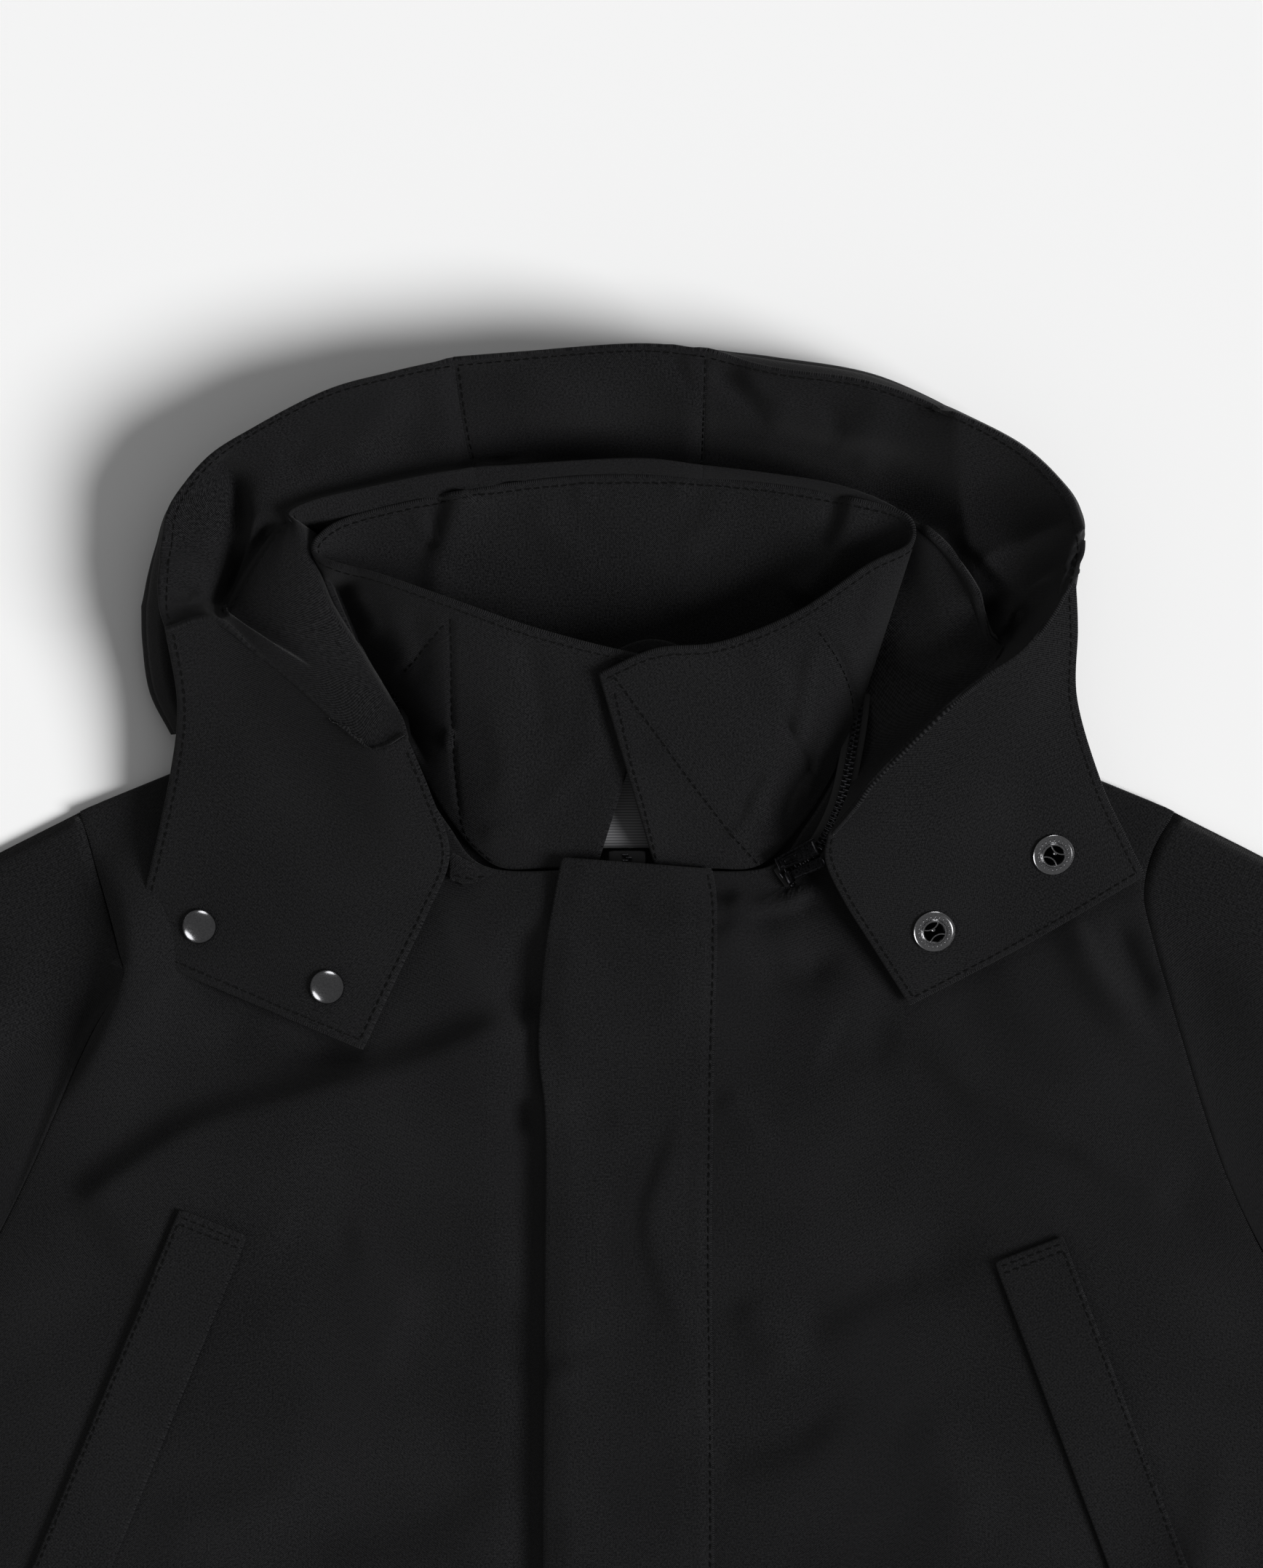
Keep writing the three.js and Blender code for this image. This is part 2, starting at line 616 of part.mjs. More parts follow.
// A grid whose first and last rows are drawn in, seen from above, for the gap at a seam
function drawnIn(grid, atStart, atEnd) {
  const last = grid.length - 1;
  const nudge = (from, towards, amount) => from.map((point, j) => {
    const reach = Math.hypot(towards[j][0] - point[0], towards[j][1] - point[1]);
    const share = Math.min(amount / reach, 0.8);
    return point.map((value, c) => value + (towards[j][c] - value) * share);
  });
  return grid.map((row, i) => {
    if (i === 0) return nudge(row, grid[1], atStart);
    return i === last ? nudge(row, grid[last - 1], atEnd) : row;
  });
}

function hoodPiece(wholeGrid) {
  const grid = drawnIn(wholeGrid, hoodSeam, hoodSeam);
  return wallBetween(grid, underFace(grid, hoodWall));
}

// The hidden layers of the hood, heaped under the part that shows, with layered outer edges
const heapEndsRight = [
  { neck: [-116, 341, 3], foot: [-120, 340, 4], tuck: [-124, 339, 6], crest: [-134, 336, 9],
    valley: [-152, 333, 12], fold: [-178, 326, 16], rim: [-194, 320, 19], bulge: 10 },
  { neck: [-115, 350, 3], foot: [-118, 350, 5], tuck: [-121, 350, 9], crest: [-126, 348, 14],
    valley: [-139, 342, 14], fold: [-168, 360, 16], rim: [-199, 363, 27], bulge: 8 },
];
const heapEndsLeft = [
  { neck: [116, 339, 3], foot: [119, 338.5, 4], tuck: [122, 338, 5], crest: [131, 336, 5],
    valley: [147, 334, 5], fold: [172, 337, 13], rim: [187, 341, 24], bulge: 9 },
];

// The edge layers under the rim: how far each reaches of the bulge, and its share of the height
const edgeLayers = [
  { share: 0.7, inset: -0.5, level: 0.82 },
  { share: 0.75, inset: 1.2, level: 0.64 },
  { share: 1, inset: -0.6, level: 0.5 },
  { share: 0.9, inset: 1.4, level: 0.3 },
  { share: 0.5, inset: 3, level: 0.08 },
];

function heapRow(row, neck, foot, bulge) {
  const rim = row[row.length - 1];
  const before = row[row.length - 3];
  const out = direction([before[0], before[1], 0], [rim[0], rim[1], 0]);
  const side = edgeLayers.map(({ share, inset, level }) => {
    const reach = share * bulge - inset;
    return [rim[0] + out.x * reach, rim[1] + out.y * reach, level * rim[2]];
  });
  return [neck, foot, ...row, ...side];
}

function hoodHeap() {
  const sections = [...sectionsRight, seamRight, centreSection, seamLeft, ...sectionsLeft];
  const shown = [
    ...hoodGrids.right.slice(2 * rowSteps - 1),
    ...hoodGrids.centre.slice(1),
    ...hoodGrids.left.slice(1, -2 * rowSteps),
  ];
  const under = underFace(shown, hoodWall + layGap);
  const rows = under.map((row, i) => {
    const place = (i - 1) / rowSteps;
    const neck = through(sections.map((section) => section.neck), place);
    const foot = through(sections.map((section) => section.foot), place);
    const [bulge] = through(sections.map((section) => [section.bulge]), place);
    return heapRow(row, neck, foot, bulge);
  });
  const endRow = (end) => {
    const row = [];
    for (let j = 0; j <= 4 * columnSteps; j += 1) row.push(through(columnsOf(end), j / columnSteps));
    return heapRow(row, end.neck, end.foot, end.bulge);
  };
  const upper = [...heapEndsRight.map(endRow), ...rows, ...heapEndsLeft.map(endRow)];
  const lower = upper.map((row) => {
    const first = row[0];
    const last = row[row.length - 1];
    return row.map((unused, j) => {
      const share = j / (row.length - 1);
      return [first[0] + (last[0] - first[0]) * share, first[1] + (last[1] - first[1]) * share, 0];
    });
  });
  return wallBetween(upper, lower);
}

// Chin tabs, turned out from the ridges over the fronts
const tabRightEdges = {
  end: [[-114, 177, 15], [-164, 198, 14], [-214, 219, 12.5]],
  inner: [[-93, 311, 54], [-85, 286, 43], [-77, 260, 29], [-86, 236, 20], [-100, 207, 16], [-114, 177, 15]],
  rim: [[-197, 357, 37], [-192, 325, 30], [-195, 296, 23], [-204, 255, 16], [-214, 219, 12.5]],
};
const tabLeftEdges = {
  end: [[122, 196, 12.5], [172, 222, 13.5], [222, 251, 13]],
  inner: [[87, 269, 36], [86, 257, 32], [94, 240, 24], [106, 221, 17], [122, 196, 12.5]],
  rim: [[191, 377, 45], [192, 356, 42], [192, 326, 36], [203, 290, 25], [214, 267, 17], [222, 251, 13]],
};

function tabGrid(ridgePoints, edges) {
  const across = 4 * columnSteps;
  const down = 12;
  const top = [];
  for (let j = 0; j <= across; j += 1) top.push(through(ridgePoints, j / columnSteps));
  const bottom = alongStretches([edges.end], across);
  const inner = alongStretches([edges.inner], down);
  const rim = alongStretches([edges.rim], down);
  return drawnIn(patchInside(top, bottom, inner, rim), gap, 0);
}

const tabGrids = {
  right: tabGrid(ridgeRight, tabRightEdges),
  left: tabGrid(ridgeLeft, tabLeftEdges),
};

function chinTab(grid) {
  return wallBetween(grid, underFace(grid, hoodWall));
}

// A band of even width along a line of points, lying flat across its width
function band(points, width, thickness, steps) {
  const line = alongStretches([points], steps);
  const upper = line.map(([x, y, z], i) => {
    const before = line[Math.max(i - 1, 0)];
    const after = line[Math.min(i + 1, steps)];
    const way = direction([before[0], before[1], 0], [after[0], after[1], 0]);
    return [-0.5, 0.5].map((side) => [x - way.y * side * width, y + way.x * side * width, z]);
  });
  return wallBetween(upper, lifted(upper, -thickness));
}

// The zip that joins the hood to the neck, round the foot of the collar from the wearer's right
const hoodZipLine = [
  [-66, 249.5, 12.6], [-80, 260, 12.6], [-93, 280, 12], [-104, 306, 11], [-110, 328, 8.5],
  [-109, 342, 4.5], [-92, 345, 2.3], [-50, 337, 2.3], [0, 334, 2.3], [50, 337, 2.3],
  [92, 345, 2.3], [109, 342, 4.5], [110, 328, 8.5], [104, 306, 11], [93, 280, 12],
  [80, 260, 12.6], [66, 249.5, 12.6],
];

// The small cloth guard over the zip's lower end
function zipGuard() {
  const across = 4;
  const down = 3;
  const level = 14.6;
  const edge = (points, steps) => alongStretches([points.map(([x, y]) => [x, y, level])], steps);
  const top = edge([[-76, 260.5], [-67, 256], [-58.5, 252.5]], across);
  const bottom = edge([[-76, 249.5], [-68, 248], [-60, 250.5]], across);
  const left = edge([[-76, 260.5], [-76, 249.5]], down);
  const right = edge([[-58.5, 252.5], [-60, 250.5]], down);
  const upper = patchInside(top, bottom, left, right);
  return wallBetween(upper, lifted(upper, -1.5));
}

// The maker's ribbon place inside the back neck, left bare
function neckRibbon() {
  const upper = [316, 290, 263].map((y) => [-17, 0, 15].map((x) => [x, y, 4]));
  return wallBetween(upper, lifted(upper, -0.9));
}

// Snap parts, turned about the way the tab faces
function placeSnap(name, grid, x, y, profile) {
  const step = 3;
  const level = (px, py) => levelOn(grid, px, py);
  const slopeX = (level(x + step, y) - level(x - step, y)) / (2 * step);
  const slopeY = (level(x, y + step) - level(x, y - step)) / (2 * step);
  const facing = new THREE.Vector3(-slopeX, -slopeY, 1).normalize();
  const geometry = new THREE.LatheGeometry(profile.map(([r, h]) => new THREE.Vector2(r, h)), 18);
  const mesh = addPiece(name, geometry, steel);
  mesh.position.set(x, y, level(x, y)).addScaledVector(facing, 0.45);
  mesh.quaternion.setFromUnitVectors(new THREE.Vector3(0, 1, 0), facing);
}

// The loop that the coat hangs by, lying up the inside of the collar
const loopLine = [[-12, 330, 8.4], [-9, 342, 11.8], [11, 350, 14.1], [31, 342, 11.8], [34, 330, 8.4]];

// Zip slider, and the pull that turns about its pin. Local x runs along the zip, -y to the pull.
const sliderPlace = { x: 73, y: 259.5, z: 12.95, turn: THREE.MathUtils.degToRad(25) };
const sliderSize = { length: 19, width: 8, height: 4.5, plate: 1.3 };
const pin = { x: -7, z: 2.25, radius: 0.7, end: -10.2, headRadius: 1.5 };
const pinSides = 12;
const pull = { from: -4.6, to: -9.6, barrel: 1.9, bore: 1.05, length: 17, narrow: 1.9, wide: 2.6, thickness: 1.2 };

const wasm = await Module();
wasm.setup();

function solidOf(geometry) {
  geometry.deleteAttribute('normal');
  geometry.deleteAttribute('uv');
  const merged = mergeVertices(geometry);
  return new wasm.Manifold(new wasm.Mesh({
    numProp: 3,
    vertProperties: new Float32Array(merged.attributes.position.array),
    triVerts: new Uint32Array(merged.index.array),
  }));
}

function geometryOf(solid) {
  const { vertProperties, triVerts } = solid.getMesh();
  const geometry = new THREE.BufferGeometry();
  geometry.setAttribute('position', new THREE.BufferAttribute(new Float32Array(vertProperties), 3));
  geometry.setIndex(Array.from(triVerts));
  geometry.computeVertexNormals();
  return geometry;
}

function blockAt(x, y, z, width, depth, height) {
  return solidOf(new THREE.BoxGeometry(width, depth, height).translate(x, y, z + height / 2));
}

// A round bar that runs along y
function barAt(x, z, radius, from, to, sides) {
  const bar = new THREE.CylinderGeometry(radius, radius, Math.abs(to - from), sides);
  return solidOf(bar.translate(x, (from + to) / 2, z));
}

// A flat plate with its wide end rounded, seen from above
function roundedPlate(fromX, toX, halfAtStart, halfAtEnd, centreY, z, height) {
  const outline = new THREE.Shape();
  outline.moveTo(fromX, centreY - halfAtStart);
  outline.lineTo(toX - halfAtEnd, centreY - halfAtEnd);
  outline.absarc(toX - halfAtEnd, centreY, halfAtEnd, -Math.PI / 2, Math.PI / 2, false);
  outline.lineTo(fromX, centreY + halfAtStart);
  outline.closePath();
  const plate = new THREE.ExtrudeGeometry(outline, { depth: height, bevelEnabled: false, curveSegments: 8 });
  return solidOf(plate.translate(0, 0, z));
}

function zipSlider() {
  const { length, width, height, plate } = sliderSize;
  const half = length / 2;
  const tail = 0.36 * width;
  const lower = roundedPlate(-half, half, tail, width / 2, 0, 0, plate);
  const upper = roundedPlate(-half, half, tail, width / 2, 0, height - plate, plate);
  const core = blockAt(width / 2, 0, plate / 2, 3, 2.4, height - plate);
  const lug = blockAt(pin.x, -2.6, 0.1, 3, 2.8, height - 0.2);
  const axle = barAt(pin.x, pin.z, pin.radius, -3, pin.end, pinSides);
  const head = barAt(pin.x, pin.z, pin.headRadius, pin.end, pin.end - 0.8, pinSides);
  return geometryOf(lower.add(upper).add(core).add(lug).add(axle).add(head));
}

function pullTab() {
  const middle = (pull.from + pull.to) / 2;
  const level = pin.z - pull.thickness / 2;
  const tip = pin.x + pull.length;
  const blade = roundedPlate(pin.x + 0.5, tip, pull.narrow, pull.wide, middle, level, pull.thickness);
  const barrel = barAt(pin.x, pin.z, pull.barrel, pull.from, pull.to, 16);
  const bore = barAt(pin.x, pin.z, pull.bore, pull.from + 1, pull.to - 1, 16);
  return geometryOf(blade.add(barrel).subtract(bore));
}

function placeOnZip(mesh) {
  mesh.position.set(sliderPlace.x, sliderPlace.y, sliderPlace.z);
  mesh.rotation.z = sliderPlace.turn;
}

const capProfile = [
  [0, 0], [capRadius - 0.5, 0], [capRadius, 0.6], [capRadius - 0.4, 1.4], [capRadius - 1.8, 2.2],
  [3, 2.8], [0, 3],
];
const socketProfile = [
  [0, 0], [socketRadius - 0.5, 0], [socketRadius, 0.5], [socketRadius - 0.3, 1.1], [5.4, 1.5],
  [4.8, 2.6], [4, 2.6], [3.7, 1], [0, 0.9],
];

addPiece('back', backPiece(), cloth);
addPiece('front_right', frontPiece(frontGrids.right), cloth);
addPiece('front_left', frontPiece(frontGrids.left), cloth);
addPiece('front_zip', frontZip(), darkZip);
addPiece('front_flap', frontFlap(), cloth);
addPiece('pocket_welt_right', pocketWelt(-1, 164.5, 95, 0.39), cloth);
addPiece('pocket_welt_left', pocketWelt(1, 159, 84, 0.36), cloth);
addPiece('sleeve_right', sleeve(-1, armholeRight), cloth);
addPiece('sleeve_left', sleeve(1, armholeLeft), cloth);
addPiece('collar', collar(), cloth);
addPiece('hood_side_right', hoodPiece(hoodGrids.right), cloth);
addPiece('hood_centre', hoodPiece(hoodGrids.centre), cloth);
addPiece('hood_side_left', hoodPiece(hoodGrids.left), cloth);
addPiece('hood_heap', hoodHeap(), cloth);
addPiece('chin_tab_right', chinTab(tabGrids.right), cloth);
addPiece('chin_tab_left', chinTab(tabGrids.left), cloth);
addPiece('hood_zip', band(hoodZipLine, 7, 1.6, 42), darkZip);
addPiece('zip_guard', zipGuard(), cloth);
addPiece('neck_ribbon', neckRibbon(), ribbon);
placeSnap('snap_cap_outer', tabGrids.right, -184, 229, capProfile);
placeSnap('snap_cap_inner', tabGrids.right, -129, 203, capProfile);
placeSnap('snap_socket_outer', tabGrids.left, 183, 260, socketProfile);
placeSnap('snap_socket_inner', tabGrids.left, 132, 227, socketProfile);
addPiece('hanger_loop', band(loopLine, 4, 1.3, 12), cloth);
placeOnZip(addPiece('zip_slider', zipSlider(), steel));
placeOnZip(addPiece('zip_pull', pullTab(), steel));

export default part;
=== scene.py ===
import math
import bpy
import numpy as np
from mathutils import Matrix, Vector


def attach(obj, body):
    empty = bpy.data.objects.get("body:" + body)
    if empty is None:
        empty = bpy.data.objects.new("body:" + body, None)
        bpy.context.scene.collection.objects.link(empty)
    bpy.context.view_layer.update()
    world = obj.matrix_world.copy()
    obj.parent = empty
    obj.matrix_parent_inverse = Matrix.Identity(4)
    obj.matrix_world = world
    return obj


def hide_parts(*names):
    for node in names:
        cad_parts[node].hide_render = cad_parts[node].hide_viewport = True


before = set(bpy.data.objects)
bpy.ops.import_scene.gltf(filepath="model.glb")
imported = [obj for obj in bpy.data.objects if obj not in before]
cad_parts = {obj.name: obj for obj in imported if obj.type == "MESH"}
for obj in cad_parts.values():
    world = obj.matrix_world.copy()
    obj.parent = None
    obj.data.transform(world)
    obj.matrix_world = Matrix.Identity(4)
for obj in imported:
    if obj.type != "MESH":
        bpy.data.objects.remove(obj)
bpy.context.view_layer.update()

mm = 0.001

# Lines and grids, all in millimetres until a mesh is made


# a smooth curve through the rows of a table, met at places 0, 1, 2 and so on
def through(table, places):
    rows = np.asarray(table, float)
    rows = np.vstack([2 * rows[:1] - rows[1:2], rows, 2 * rows[-1:] - rows[-2:-1]])
    places = np.asarray(places, float)
    k = np.clip(np.floor(places).astype(int), 0, len(rows) - 4)
    f = (places - k)[:, None]
    before, start, end, after = rows[k], rows[k + 1], rows[k + 2], rows[k + 3]
    bend = 2 * before - 5 * start + 4 * end - after
    twist = 3 * (start - end) + after - before
    return start + 0.5 * f * (end - before + f * (bend + f * twist))


# a table of rows, or a list of lines, with finer steps between them
def finer(table, steps):
    table = np.asarray(table, float)
    places = np.linspace(0, len(table) - 1, (len(table) - 1) * steps + 1)
    return through(table.reshape(len(table), -1), places).reshape(len(places), *table.shape[1:])


# how far along a line each of its points lies
def lengthsOf(line):
    return np.concatenate([[0], np.cumsum(np.linalg.norm(np.diff(line, axis=0), axis=1))])


def alongLine(line, lengths, want):
    return np.stack([np.interp(want, lengths, column) for column in line.T], axis=-1)


# points evenly spaced along smooth stretches that meet at corners
def evenly(stretches, steps):
    fine = []
    for stretch in stretches:
        fine.append(finer(stretch, 24)[1 if fine else 0:])
    line = np.vstack(fine)
    lengths = lengthsOf(line)
    return alongLine(line, lengths, np.linspace(0, lengths[-1], steps + 1))


# a grid inside four edges: top and bottom run across, left and right run down
def patchInside(top, bottom, left, right):
    u = np.linspace(0, 1, len(top))[None, :, None]
    v = np.linspace(0, 1, len(left))[:, None, None]
    corners = (1 - u) * (1 - v) * top[0] + u * (1 - v) * top[-1]
    corners = corners + (1 - u) * v * bottom[0] + u * v * bottom[-1]
    return (1 - v) * top[None] + v * bottom[None] + (1 - u) * left[:, None] + u * right[:, None] - corners


# a fine grid through a table of sections, each a list of points
def gridThrough(sections, rowSteps, columnSteps):
    rows = finer(sections, rowSteps)
    return finer(rows.transpose(1, 0, 2), columnSteps).transpose(1, 0, 2)


def smooth(value, low, high):
    share = np.clip((value - low) / max(high - low, 1e-6), 0, 1)
    return share * share * (3 - 2 * share)


def unit(vectors):
    return vectors / (np.linalg.norm(vectors, axis=-1, keepdims=True) + 1e-12)


# the way each point of a grid faces
def facings(grid, keepUp=True):
    ways = unit(np.cross(np.gradient(grid, axis=1), np.gradient(grid, axis=0)))
    return -ways if keepUp and ways[..., 2].sum() < 0 else ways


# a fold along a path in plan: how wide it falls to the left and to the right of the path, and how high it
# stands (or how deep, below nothing), the shares of its length that fade in and out, and a power that is
# near 1 where its top is sharp
def fold(path, left, right, height, fade=(0.3, 0.3), power=2):
    return {"path": path, "left": left, "right": right, "height": height, "fade": fade, "power": power}


# how high a set of folds stands at points in plan
def foldHeight(x, y, folds):
    total = np.zeros_like(x)
    for each in folds:
        line = finer(each["path"], 6)
        nearest = np.full(x.shape, 1e9)
        side = np.zeros_like(x)
        place = np.zeros_like(x)
        for k in range(len(line) - 1):
            dx, dy = line[k + 1] - line[k]
            ax = x - line[k][0]
            ay = y - line[k][1]
            t = np.clip((ax * dx + ay * dy) / (dx * dx + dy * dy), 0, 1)
            away = np.hypot(ax - t * dx, ay - t * dy)
            closer = away < nearest
            nearest = np.where(closer, away, nearest)
            side = np.where(closer, dx * ay - dy * ax, side)
            place = np.where(closer, (k + t) / (len(line) - 1), place)
        width = np.where(side > 0, each["left"], each["right"])
        start, end = each["fade"]
        ends = smooth(place, 0, start) * smooth(1 - place, 0, end) if start + end > 0 else 1
        total += each["height"] * np.exp(-((nearest / width) ** each["power"])) * ends
    return total


# slow uneven waves, so that no stretch of cloth is perfectly even
def unevenness(x, y, size, height, seed):
    maker = np.random.default_rng(seed)
    total = np.zeros_like(x)
    for octave in range(5):
        turn = maker.uniform(0, math.tau)
        start = maker.uniform(0, math.tau)
        wave = size * maker.uniform(0.55, 1.5)
        total += np.sin((x * math.cos(turn) + y * math.sin(turn)) * math.tau / wave + start)
    return total * height / 2.2


# Meshes


def makePiece(name, points, faces, uv=None):
    mesh = bpy.data.meshes.new(name)
    faces = faces.tolist() if isinstance(faces, np.ndarray) else faces
    mesh.from_pydata((np.asarray(points) * mm).tolist(), [], faces)
    mesh.update()
    if uv is not None:
        layer = mesh.uv_layers.new(name="cloth")
        corners = np.empty(len(mesh.loops), dtype=np.int32)
        mesh.loops.foreach_get("vertex_index", corners)
        layer.data.foreach_set("uv", (np.asarray(uv)[corners] * mm).ravel())
    mesh.polygons.foreach_set("use_smooth", np.ones(len(mesh.polygons), dtype=bool))
    piece = bpy.data.objects.new(name, mesh)
    bpy.context.collection.objects.link(piece)
    return piece


# how far along and across the cloth each point of a grid lies
def clothPlaces(grid):
    across = np.linalg.norm(np.diff(grid, axis=1), axis=2).mean(axis=0)
    down = np.linalg.norm(np.diff(grid, axis=0), axis=2).mean(axis=1)
    u = np.concatenate([[0], np.cumsum(across)])
    v = np.concatenate([[0], np.cumsum(down)])
    return np.dstack(np.meshgrid(u, v))


def quadsOf(rows, columns, start=0, flip=False):
    i, j = np.meshgrid(np.arange(rows - 1), np.arange(columns - 1), indexing="ij")
    here = (start + i * columns + j).ravel()
    quads = np.column_stack([here, here + 1, here + 1 + columns, here + columns])
    return quads[:, ::-1] if flip else quads


# the places of a grid's edge, all the way round
def edgeOf(rows, columns):
    edge = [(0, j) for j in range(columns)] + [(i, columns - 1) for i in range(1, rows)]
    edge += [(rows - 1, j) for j in range(columns - 2, -1, -1)] + [(i, 0) for i in range(rows - 2, 0, -1)]
    return edge


# the faces of a closed wall, turned so that they all look out
def facedOut(points, faces):
    faces = np.vstack(faces)
    a, b, c, d = (points[faces[:, k]] for k in range(4))
    volume = (np.cross(a, b) * c).sum() + (np.cross(a, c) * d).sum()
    return faces if volume > 0 else faces[:, ::-1]


# a wall of cloth under (or about) a grid, with its edge rolled round all the way
def clothWall(name, grid, thickness, about=0.0, keepUp=True, lowest=None):
    rows, columns = grid.shape[:2]
    ways = facings(grid, keepUp)
    upper = grid + ways * thickness * about
    lower = upper - ways * thickness
    rowOf, columnOf = np.array(edgeOf(rows, columns)).T
    rim = upper[rowOf, columnOf]
    way = ways[rowOf, columnOf]
    run = unit(np.roll(rim, -1, axis=0) - np.roll(rim, 1, axis=0))
    out = unit(np.cross(run, way))
    middle = rim - way * thickness / 2
    inside = grid[np.clip(rowOf, 1, rows - 2), np.clip(columnOf, 1, columns - 2)]
    out = np.where((((rim - inside) * out).sum(axis=1) < 0)[:, None], -out, out)
    loops = []
    for turn in (math.pi * 0.25, math.pi * 0.5, math.pi * 0.75):
        loops.append(middle + (way * math.cos(turn) + out * math.sin(turn)) * thickness / 2)
    points = np.vstack([upper.reshape(-1, 3), lower.reshape(-1, 3)] + loops)
    if lowest is not None:
        points[:, 2] = np.maximum(points[:, 2], lowest)
    size = rows * columns
    first = rowOf * columns + columnOf
    around = len(first)
    rings = [first] + [2 * size + k * around + np.arange(around) for k in range(3)] + [size + first]
    faces = [quadsOf(rows, columns), quadsOf(rows, columns, size, True)]
    for a, b in zip(rings, rings[1:]):
        faces.append(np.column_stack([a, b, np.roll(b, -1), np.roll(a, -1)]))
    places = clothPlaces(grid)
    uv = np.vstack([places.reshape(-1, 2)] * 2 + [places[rowOf, columnOf]] * 3)
    return makePiece(name, points, facedOut(points, faces), uv)


# the place on a grid, as row and column, that lies at each point of a plan path
def placesOn(grid, path):
    rows, columns = grid.shape[:2]
    found = []
    flat = grid[..., :2]
    acrossWay = np.gradient(flat, axis=1)
    downWay = np.gradient(flat, axis=0)
    for x, y in path:
        away = (flat[..., 0] - x) ** 2 + (flat[..., 1] - y) ** 2
        i, j = np.unravel_index(np.argmin(away), away.shape)
        row, column = float(i), float(j)
        for step in range(3):
            ri = int(np.clip(round(row), 0, rows - 1))
            rj = int(np.clip(round(column), 0, columns - 1))
            here = sample(flat, row, column)
            matrix = np.column_stack([downWay[ri, rj], acrossWay[ri, rj]])
            move = np.linalg.lstsq(matrix, np.array([x, y]) - here, rcond=None)[0]
            row = float(np.clip(row + np.clip(move[0], -2, 2), 0, rows - 1))
            column = float(np.clip(column + np.clip(move[1], -2, 2), 0, columns - 1))
        found.append((row, column))
    return found


# the value between the four points of a grid about a place
def sample(values, row, column):
    i = int(min(max(math.floor(row), 0), values.shape[0] - 2))
    j = int(min(max(math.floor(column), 0), values.shape[1] - 2))
    f = row - i
    g = column - j
    upper = values[i, j] * (1 - g) + values[i, j + 1] * g
    lower = values[i + 1, j] * (1 - g) + values[i + 1, j + 1] * g
    return upper * (1 - f) + lower * f


# the profile gives the share of the length and of the girth at each ring of a stitch
stitch = {
    "length": 3.1, "pitch": 3.9, "radius": 0.34, "sink": 0.05, "sides": 5,
    "profile": [(-0.5, 0.25), (-0.3, 1.0), (0.3, 1.0), (0.5, 0.25)],
}


# rows of topstitching: each row is a line of surface points with the way each one faces
def stitchRows(name, lines):
    points, faces = [], []
    sides, profile = stitch["sides"], stitch["profile"]
    for line, ways in lines:
        lengths = lengthsOf(line)
        count = max(int(lengths[-1] / stitch["pitch"]), 1)
        for k in range(count):
            centre = (k + 0.5) * lengths[-1] / count
            behind, here, ahead = alongLine(line, lengths, centre + np.array([-0.5, 0, 0.5]))
            way = unit(alongLine(ways, lengths, centre))
            run = unit(ahead - behind)
            beside = np.cross(way, run)
            start = len(points)
            for along, girth in profile:
                for s in range(sides):
                    turn = math.tau * s / sides
                    radial = beside * math.cos(turn) + way * math.sin(turn)
                    lift = stitch["radius"] * (0.4 if abs(along) < 0.4 else -0.3) - stitch["sink"]
                    spot = here + run * along * stitch["length"] + way * lift
                    points.append(spot + radial * stitch["radius"] * girth)
            for ring in range(len(profile) - 1):
                for s in range(sides):
                    a = start + ring * sides + s
                    b = start + ring * sides + (s + 1) % sides
                    faces.append((a, b, b + sides, a + sides))
            faces.append(tuple(start + s for s in range(sides))[::-1])
            faces.append(tuple(start + (len(profile) - 1) * sides + s for s in range(sides)))
    finishPiece(makePiece(name, points, faces), threadMaterial)


def finishPiece(piece, material, node=None, rides="coat"):
    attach(piece, rides)
    piece.data.materials.clear()
    piece.data.materials.append(material)
    if node:
        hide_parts(node)


# a sheet of cloth in the place of a node of the part
def clothPiece(name, node, grid, thickness, **shape):
    piece = clothWall(name, grid, thickness, **shape)
    finishPiece(piece, shellMaterial, node)
    return piece


# points of a grid and the way the cloth faces there
def spotsOn(grid, places, keepUp=True):
    ways = facings(grid, keepUp)
    spots = np.array([sample(grid, *place) for place in places])
    return spots, unit(np.array([sample(ways, *place) for place in places]))


# a line laid on a grid along a plan path, with a point about every 1.5 mm
def layOn(grid, path):
    path = np.asarray(path, float)
    length = np.linalg.norm(np.diff(path, axis=0), axis=1).sum()
    return spotsOn(grid, placesOn(grid, evenly([path], max(int(length / 1.5), 2))))


# a line laid on a grid by rows and columns, given as shares of the whole
def laySharesOn(grid, shares, steps=80, keepUp=True):
    rows, columns = grid.shape[:2]
    path = through(shares, np.linspace(0, len(shares) - 1, steps + 1))
    places = [(min(max(r, 0), 1) * (rows - 1), min(max(c, 0), 1) * (columns - 1)) for r, c in path]
    return spotsOn(grid, places, keepUp)


# Materials


# sRGB hex to the linear values that the shader takes
def hexColour(text):
    values = []
    for k in (0, 2, 4):
        share = int(text[k:k + 2], 16) / 255
        values.append(share / 12.92 if share <= 0.04045 else ((share + 0.055) / 1.055) ** 2.4)
    return (*values, 1.0)


def addNode(tree, kind, settings=None, inputs=None):
    node = tree.nodes.new(kind)
    for key, value in (settings or {}).items():
        setattr(node, key, value)
    for key, value in (inputs or {}).items():
        if isinstance(value, bpy.types.NodeSocket):
            tree.links.new(value, node.inputs[key])
        else:
            node.inputs[key].default_value = value
    return node


def newMaterial(name, settings):
    material = bpy.data.materials.new(name)
    material.use_nodes = True
    tree = material.node_tree
    shader = tree.nodes["Principled BSDF"]
    for key, value in settings.items():
        shader.inputs[key].default_value = value
    return material, tree, shader


